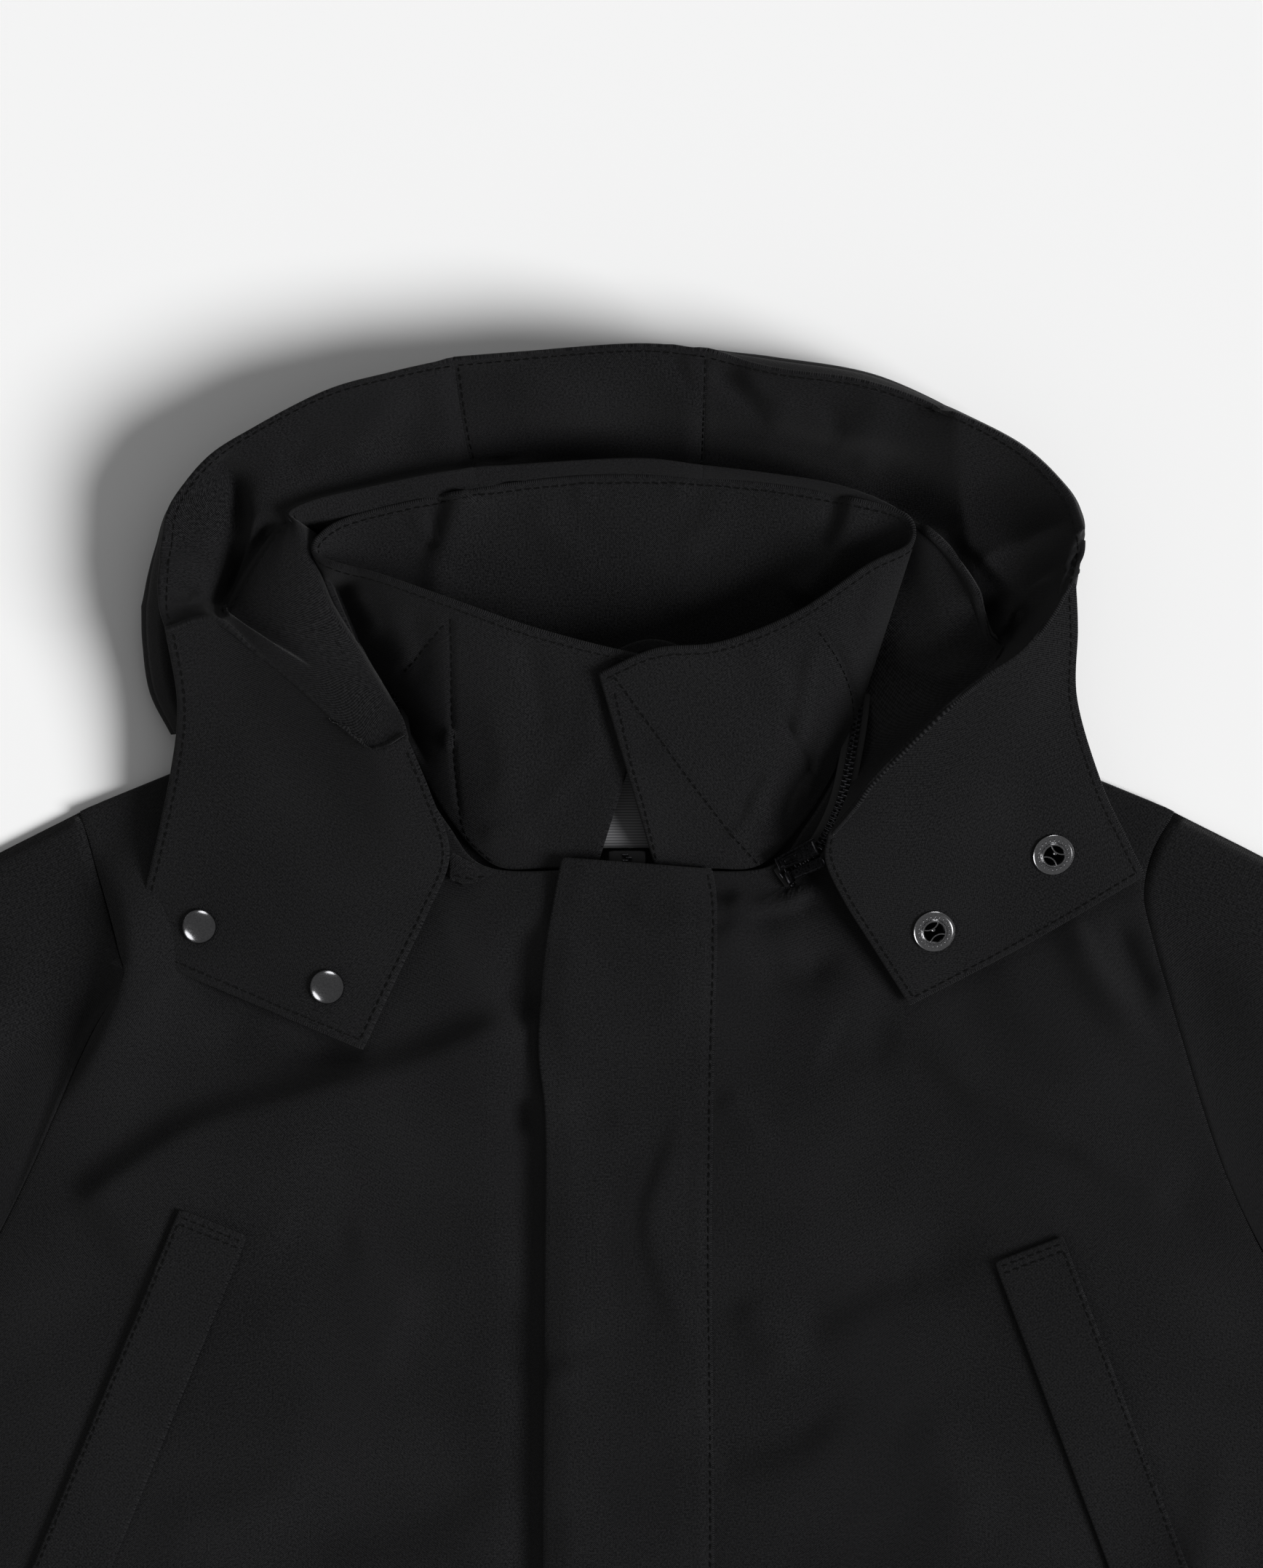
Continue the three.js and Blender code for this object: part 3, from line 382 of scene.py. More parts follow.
# Polyester-cotton shell cloth, plain weave: nearly black, with a faint grey lift where it turns away.
# The real threads are about 0.3 mm apart, too fine to show, so they are drawn 0.8 mm apart.
clothLook = {
    "dark": "060607", "light": "232324", "roughness": 0.72, "specular": 0.1,
    "sheen": 0.05, "sheenRoughness": 0.45, "thread": 0.8, "bump": 0.6,
}


# one step of arithmetic on sockets or values
def maths(tree, operation, *values):
    node = addNode(tree, "ShaderNodeMath", {"operation": operation}, dict(enumerate(values)))
    return node.outputs[0]


# a plain weave: threads one way lie over and under those of the other
def weaveHeight(tree, place, thread):
    scale = math.tau / (thread * mm)
    warped = addNode(tree, "ShaderNodeMapping", inputs={"Vector": place, "Scale": (scale, scale, scale)})
    split = addNode(tree, "ShaderNodeSeparateXYZ", inputs={0: warped.outputs[0]})
    warp, weft = (maths(tree, "SINE", split.outputs[k]) for k in (0, 1))
    return maths(tree, "MULTIPLY", warp, weft)


# a colour from dark to light, by where a share lies between low and high
def shadeBetween(tree, share, low, high, dark, light):
    ramp = addNode(tree, "ShaderNodeValToRGB", inputs={"Fac": share})
    for element, position, colour in zip(ramp.color_ramp.elements, (low, high), (dark, light)):
        element.position = position
        element.color = hexColour(colour)
    return ramp.outputs["Color"]


def shellCloth(name, look):
    material, tree, shader = newMaterial(name, {
        "Roughness": look["roughness"],
        "Specular IOR Level": look["specular"],
        "Sheen Weight": look["sheen"],
        "Sheen Roughness": look["sheenRoughness"],
    })
    place = addNode(tree, "ShaderNodeTexCoord").outputs["UV"]
    weave = weaveHeight(tree, place, look["thread"])
    slub = addNode(tree, "ShaderNodeTexNoise", inputs={"Vector": place, "Scale": 1150.0, "Detail": 4.0})
    patch = addNode(tree, "ShaderNodeTexNoise", inputs={"Vector": place, "Scale": 14.0, "Detail": 2.0})
    mixed = maths(tree, "MULTIPLY_ADD", weave, 0.3, slub.outputs["Fac"])
    mixed = maths(tree, "MULTIPLY_ADD", patch.outputs["Fac"], 0.25, mixed)
    shade = shadeBetween(tree, mixed, 0.5, 0.78, look["dark"], look["light"])
    tree.links.new(shade, shader.inputs["Base Color"])
    height = maths(tree, "MULTIPLY_ADD", weave, 0.5, slub.outputs["Fac"])
    bump = addNode(tree, "ShaderNodeBump",
                   inputs={"Strength": look["bump"], "Distance": 0.0002, "Height": height})
    tree.links.new(bump.outputs["Normal"], shader.inputs["Normal"])
    return material


shellMaterial = shellCloth("blackShellCloth", clothLook)

# Spun polyester thread, sunk in the cloth: black, and drawn darker than the cloth as painted shade of the
# needle holes, so it reads as a row of small dark dashes
threadMaterial = newMaterial("blackSewingThread", {
    "Base Color": hexColour("050505"), "Roughness": 0.6, "Specular IOR Level": 0.15,
})[0]

# Woven nylon zip tape: matt, a little blacker than the cloth
tapeMaterial = newMaterial("blackZipTape", {
    "Base Color": hexColour("0d0d0e"), "Roughness": 0.7, "Specular IOR Level": 0.25,
})[0]


# Nickel-plated brass, polished and slightly worn: soft reflections, a little uneven, with fine dark specks
def nickel(name, dull, clean, roughness):
    material, tree, shader = newMaterial(name, {"Metallic": 1.0})
    place = addNode(tree, "ShaderNodeTexCoord").outputs["Object"]
    wear = addNode(tree, "ShaderNodeTexNoise", inputs={"Vector": place, "Scale": 1500.0, "Detail": 3.0})
    rough = addNode(tree, "ShaderNodeMapRange", inputs={
        0: wear.outputs["Fac"], 1: 0.3, 2: 0.7, 3: roughness * 0.85, 4: roughness * 1.2})
    tree.links.new(rough.outputs[0], shader.inputs["Roughness"])
    shade = shadeBetween(tree, wear.outputs["Fac"], 0.3, 0.65, dull, clean)
    # inside a socket's recess the colour is mixed nearly black: painted shade of the recess
    recess = addNode(tree, "ShaderNodeAttribute", {"attribute_name": "recess"})
    recessShade = addNode(tree, "ShaderNodeMix", {"data_type": "RGBA"}, {
        "Factor": recess.outputs["Fac"], 6: shade, 7: hexColour("0b0b0c")})
    tree.links.new(recessShade.outputs[2], shader.inputs["Base Color"])
    return material


satinNickel = nickel("satinNickel", "747476", "868688", 0.2)
brightNickel = nickel("brightNickel", "909092", "a6a6a8", 0.2)
# Gunmetal plating of the small zip parts: nearly black, with glints along the edges
gunmetal = nickel("gunmetal", "0e0e0f", "2c2c2e", 0.3)

# Satin-faced polyester ribbon: the light that the fine weft ribs catch is a painted highlight, pale lines in
# the colour
ribbonMaterial, ribbonTree, ribbonShader = newMaterial("greySatinRibbon", {
    "Roughness": 0.4, "Specular IOR Level": 0.35, "Sheen Weight": 0.1,
})
ribbonPlace = addNode(ribbonTree, "ShaderNodeTexCoord").outputs["Object"]
ribbonRibs = addNode(ribbonTree, "ShaderNodeTexWave", {"bands_direction": "Y"},
                     {"Vector": ribbonPlace, "Scale": 260.0, "Distortion": 0.4})
ribbonShade = shadeBetween(ribbonTree, ribbonRibs.outputs["Fac"], 0, 1, "525254", "808082")
ribbonTree.links.new(ribbonShade, ribbonShader.inputs["Base Color"])

# Body outlines, on the wearer's left, and the folds of the fronts

body = {
    "gap": 0.3, "wall": 2.0, "hemY": -478, "neckFrontY": 253, "frontTop": 5.3, "backTop": 2.3,
    "armholeSteps": 62, "sideSteps": 92, "across": 84, "rise": 2.6, "foldShare": 1.5,
    "throatRise": 4, "throatTall": 45, "throatWide": 85,
}
neckLine = [(7.8, 253), (59, 253), (78, 272), (94, 300), (105, 331)]
backNeckLine = [(0, 319), (60, 321), (105, 331)]
shoulderLine = [(105, 331), (235, 278)]
sideLine = [(287, 63), (293, -200), (300, -478)]
armholeLeft = [(235, 278), (226, 261), (222, 245), (224, 230), (236, 188), (258, 120), (287, 63)]
armholeRight = [(235, 278), (229, 257), (219, 220), (216, 206), (231, 181), (258, 120), (287, 63)]

mainFoldsRight = [
    fold([(-240, 104), (-204, 129.4), (-182, 141.8), (-149, 151.5), (-116, 161.2), (-88, 169.5), (-60, 182),
          (-34, 192)], 8, 38, 6.5, fade=(0.06, 0.12)),
    fold([(-230, 268), (-217, 240), (-214, 212), (-225, 180), (-244, 140)], 20, 6, 8, fade=(0.15, 0.3)),
    fold([(-190, 186), (-150, 176), (-110, 184)], 12, 12, -4),
    fold([(-41, 236), (-44, 190), (-42, 120), (-42, -100), (-42, -470)], 5, 11, -3.4, fade=(0.1, 0.02)),
    fold([(-43, 204), (-45, 194), (-44, 184)], 5, 9, -2.5),
    fold([(-44, 156), (-45, 147), (-43, 138)], 4, 8, -2.5),
    fold([(-150, 102), (-134, 94), (-112, 96)], 13, 16, -2.4),
    fold([(-100, 66), (-72, 58), (-48, 74)], 16, 26, -2.6),
    fold([(-44, 12), (-70, -12), (-120, -30), (-190, -42)], 13, 26, -3.4),
    fold([(-216, -30), (-170, -26), (-120, -6)], 12, 18, 2.4),
    fold([(-60, -110), (-140, -136), (-230, -190)], 15, 30, 4),
    fold([(-70, -240), (-155, -255), (-250, -310)], 24, 15, 4.4),
    fold([(-90, -370), (-160, -380), (-240, -425)], 14, 24, 3.4),
    fold([(-265, -60), (-250, -140), (-262, -240)], 12, 18, 3),
]
mainFoldsLeft = [
    fold([(42, 243), (52, 238), (68, 239), (92, 247)], 3.6, 5, 5, fade=(0.2, 0.3)),
    fold([(50, 233), (68, 236), (88, 243)], 2, 5, -4),
    fold([(40, 222), (58, 212), (76, 210), (96, 219)], 6, 9, -4),
    fold([(42, 232), (48, 222), (60, 200)], 6, 8, 2.6),
    fold([(110, 190), (154.5, 155.6), (193, 133.5), (240, 109)], 20, 6, 4.4, fade=(0.25, 0.1)),
    fold([(150, 152), (176, 138), (200, 130)], 3, 4, -2),
    fold([(188, 238), (199, 217), (212, 196), (234, 170)], 5, 10, 5),
    fold([(208, 236), (217, 212), (228, 194)], 7, 4, -3.5),
    fold([(150, 218), (180, 186), (222, 158)], 10, 16, 2.5),
    fold([(40, 158), (50, 149), (64, 132)], 4, 9, 1.8),
    fold([(84, 180), (96, 176), (120, 178)], 14, 10, -2.6),
    fold([(160, 84), (118, 79), (88, 65), (68, 46)], 8, 22, -3.6, fade=(0.2, 0.3)),
    fold([(48, 70), (60, 52), (72, 36)], 12, 9, 3),
    fold([(36, -1), (55, 3.3), (74, 10), (98, 27)], 12, 7, -3.4, fade=(0.1, 0.3)),
    fold([(120, 20), (140, -6), (150, -40)], 14, 16, 2.2),
    fold([(60, -60), (130, -88), (210, -140)], 16, 28, 3.8),
    fold([(50, -200), (135, -215), (240, -270)], 28, 14, 4.2),
    fold([(90, -350), (160, -362), (245, -410)], 16, 28, 3.6),
    fold([(262, 20), (250, -70), (262, -170)], 14, 12, 3),
]


def throatRise(x, y):
    away = ((y - body["neckFrontY"]) / body["throatTall"]) ** 2 + (x / body["throatWide"]) ** 2
    return body["throatRise"] * np.exp(-away)


# nothing along the sides, the shoulders and the hem, where the front meets the back
def edgeFade(x, y):
    side = smooth(300 - np.abs(x), 12, 60)
    shoulder = smooth(331 - 0.41 * (np.abs(x) - 105) - y, 4, 60)
    hem = smooth(y - body["hemY"], 0, 40)
    return side * shoulder * hem


def frontHeight(x, y):
    right = foldHeight(x, y, mainFoldsRight)
    left = foldHeight(x, y, mainFoldsLeft)
    folds = np.where(x < 0, right, left)
    swell = body["rise"] + unevenness(x, y, 150, 1.1, 5) + body["foldShare"] * folds
    return body["frontTop"] + throatRise(x, y) + edgeFade(x, y) * np.maximum(swell, -body["rise"])


# one half of the body in plan, from the centre line out to the armhole and the side
def halfPanel(neck, armhole, centreX, across, armholeSteps, sideSteps):
    pitY = armhole[-1][1]
    hemY = body["hemY"]
    upperCentre = evenly([[(centreX, neck[0][1]), (centreX, pitY)]], armholeSteps)
    lowerCentre = evenly([[(centreX, pitY), (centreX, hemY)]], sideSteps)
    upperEdge = evenly([armhole], armholeSteps)
    lowerEdge = evenly([sideLine], sideSteps)
    top = evenly([neck, shoulderLine], across)
    bottom = evenly([[(centreX, hemY), (300, hemY)]], across)
    left = np.vstack([upperCentre, lowerCentre[1:]])
    right = np.vstack([upperEdge, lowerEdge[1:]])
    return patchInside(top, bottom, left, right)


def makeBack():
    steps = (24, 20, 26)
    left = halfPanel(backNeckLine, armholeLeft, 0, *steps)
    right = halfPanel(backNeckLine, armholeRight, 0, *steps)
    flipped = right[:, ::-1] * np.array([-1, 1])
    flat = np.concatenate([flipped, left[:, 1:]], axis=1)
    grid = np.dstack([flat, np.full(flat.shape[:2], body["backTop"])])
    piece = clothPiece("coatBack", "back", grid, body["backTop"], lowest=0)


def frontGrid(side, armhole):
    flat = halfPanel(neckLine, armhole, 7.8, body["across"], body["armholeSteps"], body["sideSteps"])
    flat = flat * np.array([side, 1])
    x, y = flat[..., 0], flat[..., 1]
    return np.dstack([flat, frontHeight(x, y)])


def makeFront(name, node, grid):
    piece = clothPiece(name, node, grid, body["wall"])


# Flap, welts and sleeves

flap = {
    "rows": 220, "across": 34, "lay": 1.2, "wall": 1.6, "puff": 1.6, "soft": 0.85, "least": 2.7,
    "topRise": 2.4, "topTall": 14,
    # y, left edge, right edge, and how far the row drops towards its right end
    "edges": [
        (258, -27.5, 36, 5), (240, -31, 38, 0), (213, -35.5, 38, 0), (177, -37.5, 37, 0),
        (145, -34.5, 36.5, 0), (80, -35, 36, 0), (-46, -36, 37, 0), (-260, -36, 37, 0), (-478, -36, 37, 0),
    ],
    "folds": [
        fold([(-30, 236), (-16, 226), (6, 208), (22, 196)], 5, 9, -2.2),
        fold([(-24, 247), (0, 240), (26, 238)], 5, 6, -1.6),
        fold([(0, 246), (12, 232), (34, 224)], 6, 4, 1.8),
        fold([(-26, 156), (-15, 147), (-4, 150)], 7, 6, -1.8),
        fold([(30, 158), (17, 125), (10, 103), (16, 78), (27, 53), (38, 38)], 8, 5, 2.4, fade=(0.2, 0.15)),
        fold([(20, 150), (4, 122), (-2, 96), (4, 66), (12, 50)], 8, 8, -2.2),
        fold([(-35, 34), (-28, 37), (-13, 41), (5.5, 29), (34, 9)], 4, 7, 2.6, fade=(0.05, 0.2)),
        fold([(-30, 47), (-12, 49), (6, 38), (30, 22)], 6, 4, -1.8),
        fold([(-34, -30), (-10, -38), (30, -62)], 8, 12, 2),
        fold([(-30, -104), (0, -99), (30, -118)], 7, 12, 2.2),
        fold([(-28, -180), (2, -196), (32, -200)], 12, 8, 2),
        fold([(-28, -270), (2, -256), (32, -262)], 9, 14, 2.2),
        fold([(-28, -380), (2, -370), (32, -392)], 12, 9, 2),
    ],
}


# the flap over the front: lifted at its top and puffed along its folded left edge
def flapGrid():
    edges = through(flap["edges"], np.linspace(0, len(flap["edges"]) - 1, flap["rows"] + 1))
    share = np.linspace(0, 1, flap["across"] + 1)[None, :]
    y, left, right, drop = (edges[:, k:k + 1] for k in range(4))
    x = left + (right - left) * share
    y = y - drop * share
    over = flap["topRise"] * np.exp(-(((y - flap["edges"][0][0]) / flap["topTall"]) ** 2))
    under = frontHeight(x, np.minimum(y, body["neckFrontY"]))
    fromLeft = (right - left) * share
    fromRight = (right - left) * (1 - share)
    rise = (flap["lay"] + body["wall"]) * smooth(fromRight, -3, 16) + body["gap"]
    puff = flap["puff"] * smooth(fromLeft, 1, 12) * (1 - smooth(fromLeft, 4, 34))
    level = under + rise + puff + over + flap["soft"] * foldHeight(x, y, flap["folds"])
    level = np.maximum(level, under + flap["least"] * smooth(fromRight, 0, 6) * smooth(fromLeft, -8, 14))
    return np.dstack([x, y, level])


def makeFlap(grid):
    piece = clothPiece("zipFlap", "front_flap", grid, flap["wall"])


welt = {"width": 30, "length": 175, "wall": 1.6, "lay": 1.2, "rows": 60, "columns": 12}


def weltGrid(side, cornerX, cornerY, slant):
    d, w = np.meshgrid(np.linspace(0, welt["length"], welt["rows"] + 1),
                       np.linspace(0, welt["width"], welt["columns"] + 1), indexing="ij")
    x = side * (cornerX + math.sin(slant) * d + math.cos(slant) * w)
    y = cornerY - math.cos(slant) * d + math.sin(slant) * w
    return np.dstack([x, y, frontHeight(x, y) + welt["lay"] + welt["wall"]])


def makeWelt(name, node, grid):
    piece = clothPiece(name, node, grid, welt["wall"])


sleeve = {"high": 6.4, "across": 40, "down": 110, "wall": 1.0, "reachLeft": 0.045, "reachRight": 0.022}
sleeveOuterLine = [(285, 253), (340, 222), (385, 182), (415, 130), (432, 85), (493, -83), (554, -251)]
sleeveFolds = [
    fold([(250, 225), (290, 172), (330, 120)], 14, 14, 5),
    fold([(300, 215), (340, 158), (380, 100)], 16, 16, 4),
    fold([(330, 20), (385, 30), (440, 40)], 16, 16, 5),
    fold([(360, -60), (410, -45), (460, -30)], 16, 16, 4),
    fold([(420, -150), (460, -170), (500, -190)], 18, 18, 4),
]


# the rows of a sleeve that lies flat, each from its outer fold over the upper side and back below
def sleeveRows(side, armhole):
    seam = [(x + 1, y) for x, y in armhole]
    across, down = sleeve["across"], sleeve["down"]
    near = evenly([seam], across)
    cuff = evenly([[(554, -251), (434, -294)]], across)
    outer = evenly([[seam[0]] + sleeveOuterLine], down)
    inner = evenly([[seam[-1], (340, -60), (434, -294)]], down)
    flat = patchInside(near, cuff, outer, inner)
    x, y = flat[..., 0], flat[..., 1]
    share = np.linspace(0, 1, across + 1)[None, :]
    swell = np.sqrt(np.clip(1 - np.abs(2 * share - 1) ** 8, 0, 1))
    folds = foldHeight(x, y, sleeveFolds) * np.minimum(1, 6 * share * (1 - share))
    middle = sleeve["high"] / 2
    along = np.linspace(0, 1, down + 1)[:, None]
    # at the armhole the upper side rises to the level of the front
    reach = sleeve["reachLeft"] if side > 0 else sleeve["reachRight"]
    nearSeam = (1 - smooth(along, 0, reach)) * np.minimum(1, 20 * share * (1 - share))
    top = middle + middle * swell + folds
    top = top + (np.maximum(frontHeight(side * x, y) - body["gap"], top) - top) * nearSeam
    low = middle - middle * swell + np.zeros_like(x)
    upper = np.dstack([side * x, y, top])
    lower = np.dstack([side * x, y, low])[:, 1:-1][:, ::-1]
    return np.concatenate([upper, lower], axis=1)


def makeSleeve(name, node, side, armhole):
    ring = sleeveRows(side, armhole)
    rows, columns = ring.shape[:2]
    closed = np.concatenate([ring, ring[:, :1]], axis=1)
    ways = unit(np.cross(np.gradient(closed, axis=1), np.gradient(closed, axis=0)))[:, :-1]
    if ways[rows // 2, columns // 4, 2] < 0:
        ways = -ways
    points = np.vstack([ring.reshape(-1, 3), (ring - ways * sleeve["wall"]).reshape(-1, 3)])
    size = rows * columns
    i, j = np.meshgrid(np.arange(rows - 1), np.arange(columns), indexing="ij")
    here, beside = (i * columns + j).ravel(), (i * columns + (j + 1) % columns).ravel()
    end = np.arange(columns)
    after = (end + 1) % columns
    last = (rows - 1) * columns
    faces = facedOut(points, [
        np.column_stack([here, beside, beside + columns, here + columns]),
        np.column_stack([here, here + columns, beside + columns, beside]) + size,
        np.column_stack([end, end + size, after + size, after]),
        np.column_stack([end, after, after + size, end + size]) + last,
    ])
    places = clothPlaces(ring).reshape(-1, 2)
    piece = makePiece(name, points, faces, np.vstack([places, places]))
    finishPiece(piece, shellMaterial, node)


# Collar

# where the collar leaves the neck and where its top edge lies, at stations from the centre front round by
# the wearer's right, the back and the wearer's left to the end that laps over at the front
collarStations = [
    ((-14, 255, 8.8), (14, 343, 40)),
    ((-36, 255, 8.5), (-14, 349, 43)),
    ((-57, 256.5, 8), (-46, 358, 45)),
    ((-75, 275, 8), (-77, 369, 46)),
    ((-91, 302, 8), (-106, 379, 45)),
    ((-110, 333, 9), (-131, 386.5, 40)),
    ((-110, 339, 5), (-131.5, 396, 35)),
    ((-90, 331.5, 2.2), (-112, 406, 29.5)),
    ((-50, 325, 2.2), (-52, 418, 31)),
    ((0, 322, 2.2), (0, 422, 31)),
    ((50, 325, 2.2), (54, 419, 31)),
    ((90, 331.5, 2.2), (100, 411, 30)),
    ((102, 336, 4), (119.5, 404.5, 35)),
    ((102, 331, 8), (120.8, 392.5, 41)),
    ((91, 302, 8), (103, 383, 46)),
    ((75, 275, 8.5), (73, 363, 48)),
    ((57, 256.5, 9), (40, 350, 48)),
    ((36, 255, 10), (12, 347, 48)),
    ((13, 255, 11), (-11, 337, 45)),
]
# the ring's first end lies under its last end, the wing: one ends and the other starts at these stations
collarSize = {"wall": 2.4, "rowSteps": 22, "columnSteps": 30, "frontEnd": 4.9, "wingStart": 13.6,
              "foldShare": 1.5}
# wrinkles, by the part of the ring that they lie on, with the stations where that part starts and ends
collarFolds = [
    {"from": -1, "to": 5.3, "folds": [
        fold([(-131, 382), (-117, 352), (-102, 320), (-92, 290)], 13, 6, -8, fade=(0.12, 0.3)),
        fold([(-46.3, 360), (-38.8, 330), (-35, 308)], 7, 5, -1.4),
        fold([(-5, 316), (-24, 293), (-42, 274)], 4, 7, 1.2),
        fold([(-75, 361), (-74.4, 311), (-71, 272)], 1.2, 1.6, -0.7, fade=(0, 0)),
        fold([(-76, 359), (-86, 349), (-96, 338)], 1.2, 1.6, -0.5, fade=(0, 0)),
        fold([(-74, 315), (-78, 305)], 2, 3, 1.8),
        fold([(-60, 330), (-52, 300), (-56, 280)], 8, 6, 1.2),
        fold([(-96, 366), (-88, 352), (-90, 330)], 6, 5, -1.5),
        fold([(-20, 345), (-14, 330), (-18, 306)], 5, 6, 1),
        fold([(-66, 266), (-52, 270), (-36, 264)], 4, 5, 1.2),
        fold([(-118, 378), (-112, 366), (-104, 352)], 4, 5, 1.5),
    ]},
    {"from": 5.9, "to": 12.1, "folds": [
        fold([(-70.6, 416), (-75.3, 401), (-81, 386), (-82, 368)], 10, 6, 2.8, fade=(0.02, 0.06), power=1.6),
        fold([(-78, 414), (-82, 400), (-87, 386)], 3.5, 6, -2, fade=(0.05, 0.3)),
        fold([(-91, 409), (-84, 392)], 3, 3, 1.5),
        fold([(98, 415), (95, 400), (89, 388), (72, 368)], 10, 7, 2.8, fade=(0.02, 0.1), power=1.6),
        fold([(91, 414), (88, 402), (80, 388)], 4, 5, -2.2, fade=(0.05, 0.3)),
        fold([(-40, 416), (-30, 398), (-10, 382)], 6, 9, 1.3),
        fold([(44, 418), (34, 400), (18, 386)], 9, 6, 1.2),
        fold([(-20, 420), (-18, 408)], 4, 4, 1.1),
        fold([(20, 421), (24, 410)], 4, 4, 1),
        fold([(60, 396), (40, 378), (10, 366)], 8, 8, 1.2),
    ]},
    {"from": 12.7, "to": 20, "folds": [
        fold([(82, 357), (90.6, 345), (96, 330), (99, 318)], 3, 2.4, -1.8),
        fold([(82, 356), (76.6, 330), (72, 296)], 2.4, 4, 1.8),
        fold([(64, 324), (74, 306), (86, 284)], 3, 2.2, -1.8),
        fold([(88, 322), (82, 300), (78, 276)], 3, 3, 1.7),
        fold([(50, 352), (62, 338), (70, 318)], 5, 6, 1.2),
        fold([(66, 300), (58, 284), (62, 268)], 3, 4, 1.4),
        fold([(84, 304), (72, 290), (66, 272)], 2, 3, -1.5),
        fold([(10, 312), (24, 300), (42, 296)], 5, 7, 1.1),
        fold([(40, 264), (52, 274), (56, 290)], 3, 4, 1.3),
        fold([(112, 385), (104, 368), (102, 350)], 5, 4, 1.5),
    ]},
]


def collarGrid():
    sections = []
    for base, top in np.array(collarStations, float):
        sections.append([base, (base + top) / 2, top])
    grid = gridThrough(sections, collarSize["rowSteps"], collarSize["columnSteps"])
    x, y = grid[..., 0], grid[..., 1]
    station = (np.arange(len(grid)) / collarSize["rowSteps"])[:, None]
    share = np.linspace(0, 1, grid.shape[1])[None, :]
    for part in collarFolds:
        shown = smooth(station, part["from"], part["from"] + 0.5) * smooth(part["to"] - station, 0, 0.5)
        shown = collarSize["foldShare"] * shown * smooth(share, 0.02, 0.14)
        grid[..., 2] += shown * foldHeight(x, y, part["folds"])
    return grid


def makeCollar(grid):
    piece = clothPiece("standCollar", "collar", grid, collarSize["wall"], about=0.5, keepUp=False)


# Hood: each section runs from the neck under the collar, over the crest, down a valley and out to the rim

hood = {"wall": 2.0, "rowSteps": 10, "columnSteps": 10, "seam": 0.35, "tabRows": 80, "steepest": 0.4,
        "endSteps": 6, "heapGap": 1.4, "lowest": 5.6}
sectionNames = ("neck", "foot", "tuck", "crest", "sheet", "valley", "slope", "fold", "rim")


# one section, with how far the hood's hidden edge swells out below the rim
def section(bulge, *points):
    return {"bulge": bulge, **dict(zip(sectionNames, points))}


# rows that lead from the folded edge of each chin tab into the hood
ridgeRight = [(-95, 310.3, 49), (-105.3, 305.3, 48), (-114, 308, 47), (-138, 330, 45), (-156, 345, 43),
              (-177, 361.5, 41), (-197, 357, 37)]
ridgeLeft = [(87, 269, 36), (97, 281, 39), (106, 293, 42), (134, 321, 46), (151, 335, 47), (171, 349, 47),
             (191, 377, 45)]
pocketRight = [(-94.6, 311.2, 49), (-104.7, 306.4, 48.2), (-113.4, 309, 47.2), (-137.3, 330.9, 45.2),
               (-155.4, 345.7, 43), (-176.7, 362.2, 39), (-197.3, 358, 35)]
behindRight = [(-99, 324, 44), (-105, 327, 46), (-121, 331, 47.5), (-143, 345, 46), (-158.5, 355, 43),
               (-177.5, 366, 33), (-199, 364, 34)]
pocketLeft = [(99, 299, 8), (154, 338, 22), (156.5, 341, 21), (159, 344, 20), (164, 350, 25), (174, 363, 31),
              (194, 389, 45)]
sectionsRight = [
    section(8, (-116, 358, 3), (-121, 363, 5), (-112, 345, 24), (-114.5, 345.5, 42), (-140, 352, 44),
            (-167, 360.5, 33), (-172, 365, 29), (-176.5, 369, 26), (-199.5, 370, 35)),
    section(6, (-117, 365, 3), (-131, 387, 7), (-125.5, 367, 24), (-127.8, 368, 39.5), (-145, 371, 40),
            (-164.5, 374, 33), (-168.5, 376, 30), (-172, 378, 24), (-199.5, 380, 35)),
    section(4, (-113, 369, 3), (-134, 399, 9), (-132.5, 388, 25), (-135.5, 389, 37), (-146, 390.5, 36),
            (-155, 390, 32), (-162, 391, 30), (-168, 392, 23), (-198, 393, 36)),
    section(2, (-106, 368, 3), (-129, 397, 14), (-133, 397, 25), (-140, 401.3, 36), (-144.5, 402, 34),
            (-148.5, 402, 31), (-159, 405, 30), (-168, 408, 25), (-194.5, 409, 37)),
    section(1, (-102, 365, 3), (-123, 394, 15), (-136, 400, 25), (-143.5, 406, 36), (-145, 407, 34),
            (-147, 409, 30), (-158, 416, 31), (-169, 421, 30), (-180, 427, 40)),
    section(1, (-98, 361, 3), (-116, 392, 16), (-121, 399, 26), (-131.5, 411, 35.5), (-132.5, 412.5, 33),
            (-134, 414.5, 29), (-144, 425, 32), (-152, 433, 37), (-161.5, 440, 42)),
    section(1, (-86, 349, 3), (-93, 384, 11), (-102, 404, 26), (-108, 416.5, 35.5), (-108.5, 418, 33),
            (-109.5, 420, 28), (-117, 433, 31), (-123, 445, 37), (-129, 457, 42)),
    section(1, (-72, 347, 3), (-78, 384, 12), (-81, 408, 26), (-85.5, 421.3, 35.5), (-86, 422.7, 32),
            (-87, 424.5, 26), (-93, 438, 29), (-97, 450, 36), (-101, 465, 42)),
]
seamRight = section(1, (-60, 346, 3), (-64, 384, 12), (-62, 411, 26), (-65.5, 424.8, 36),
                    (-65.8, 425.4, 30), (-66.5, 426.6, 23), (-69.5, 439, 26), (-71.6, 452, 34),
                    (-74, 471, 42))
centreSection = section(1, (0, 344, 3), (0, 385, 12), (0, 417, 26), (0, 429.2, 36), (0, 427.8, 23),
                        (0, 430.3, 7), (0, 444, 17), (0, 457, 31), (0, 477, 42))
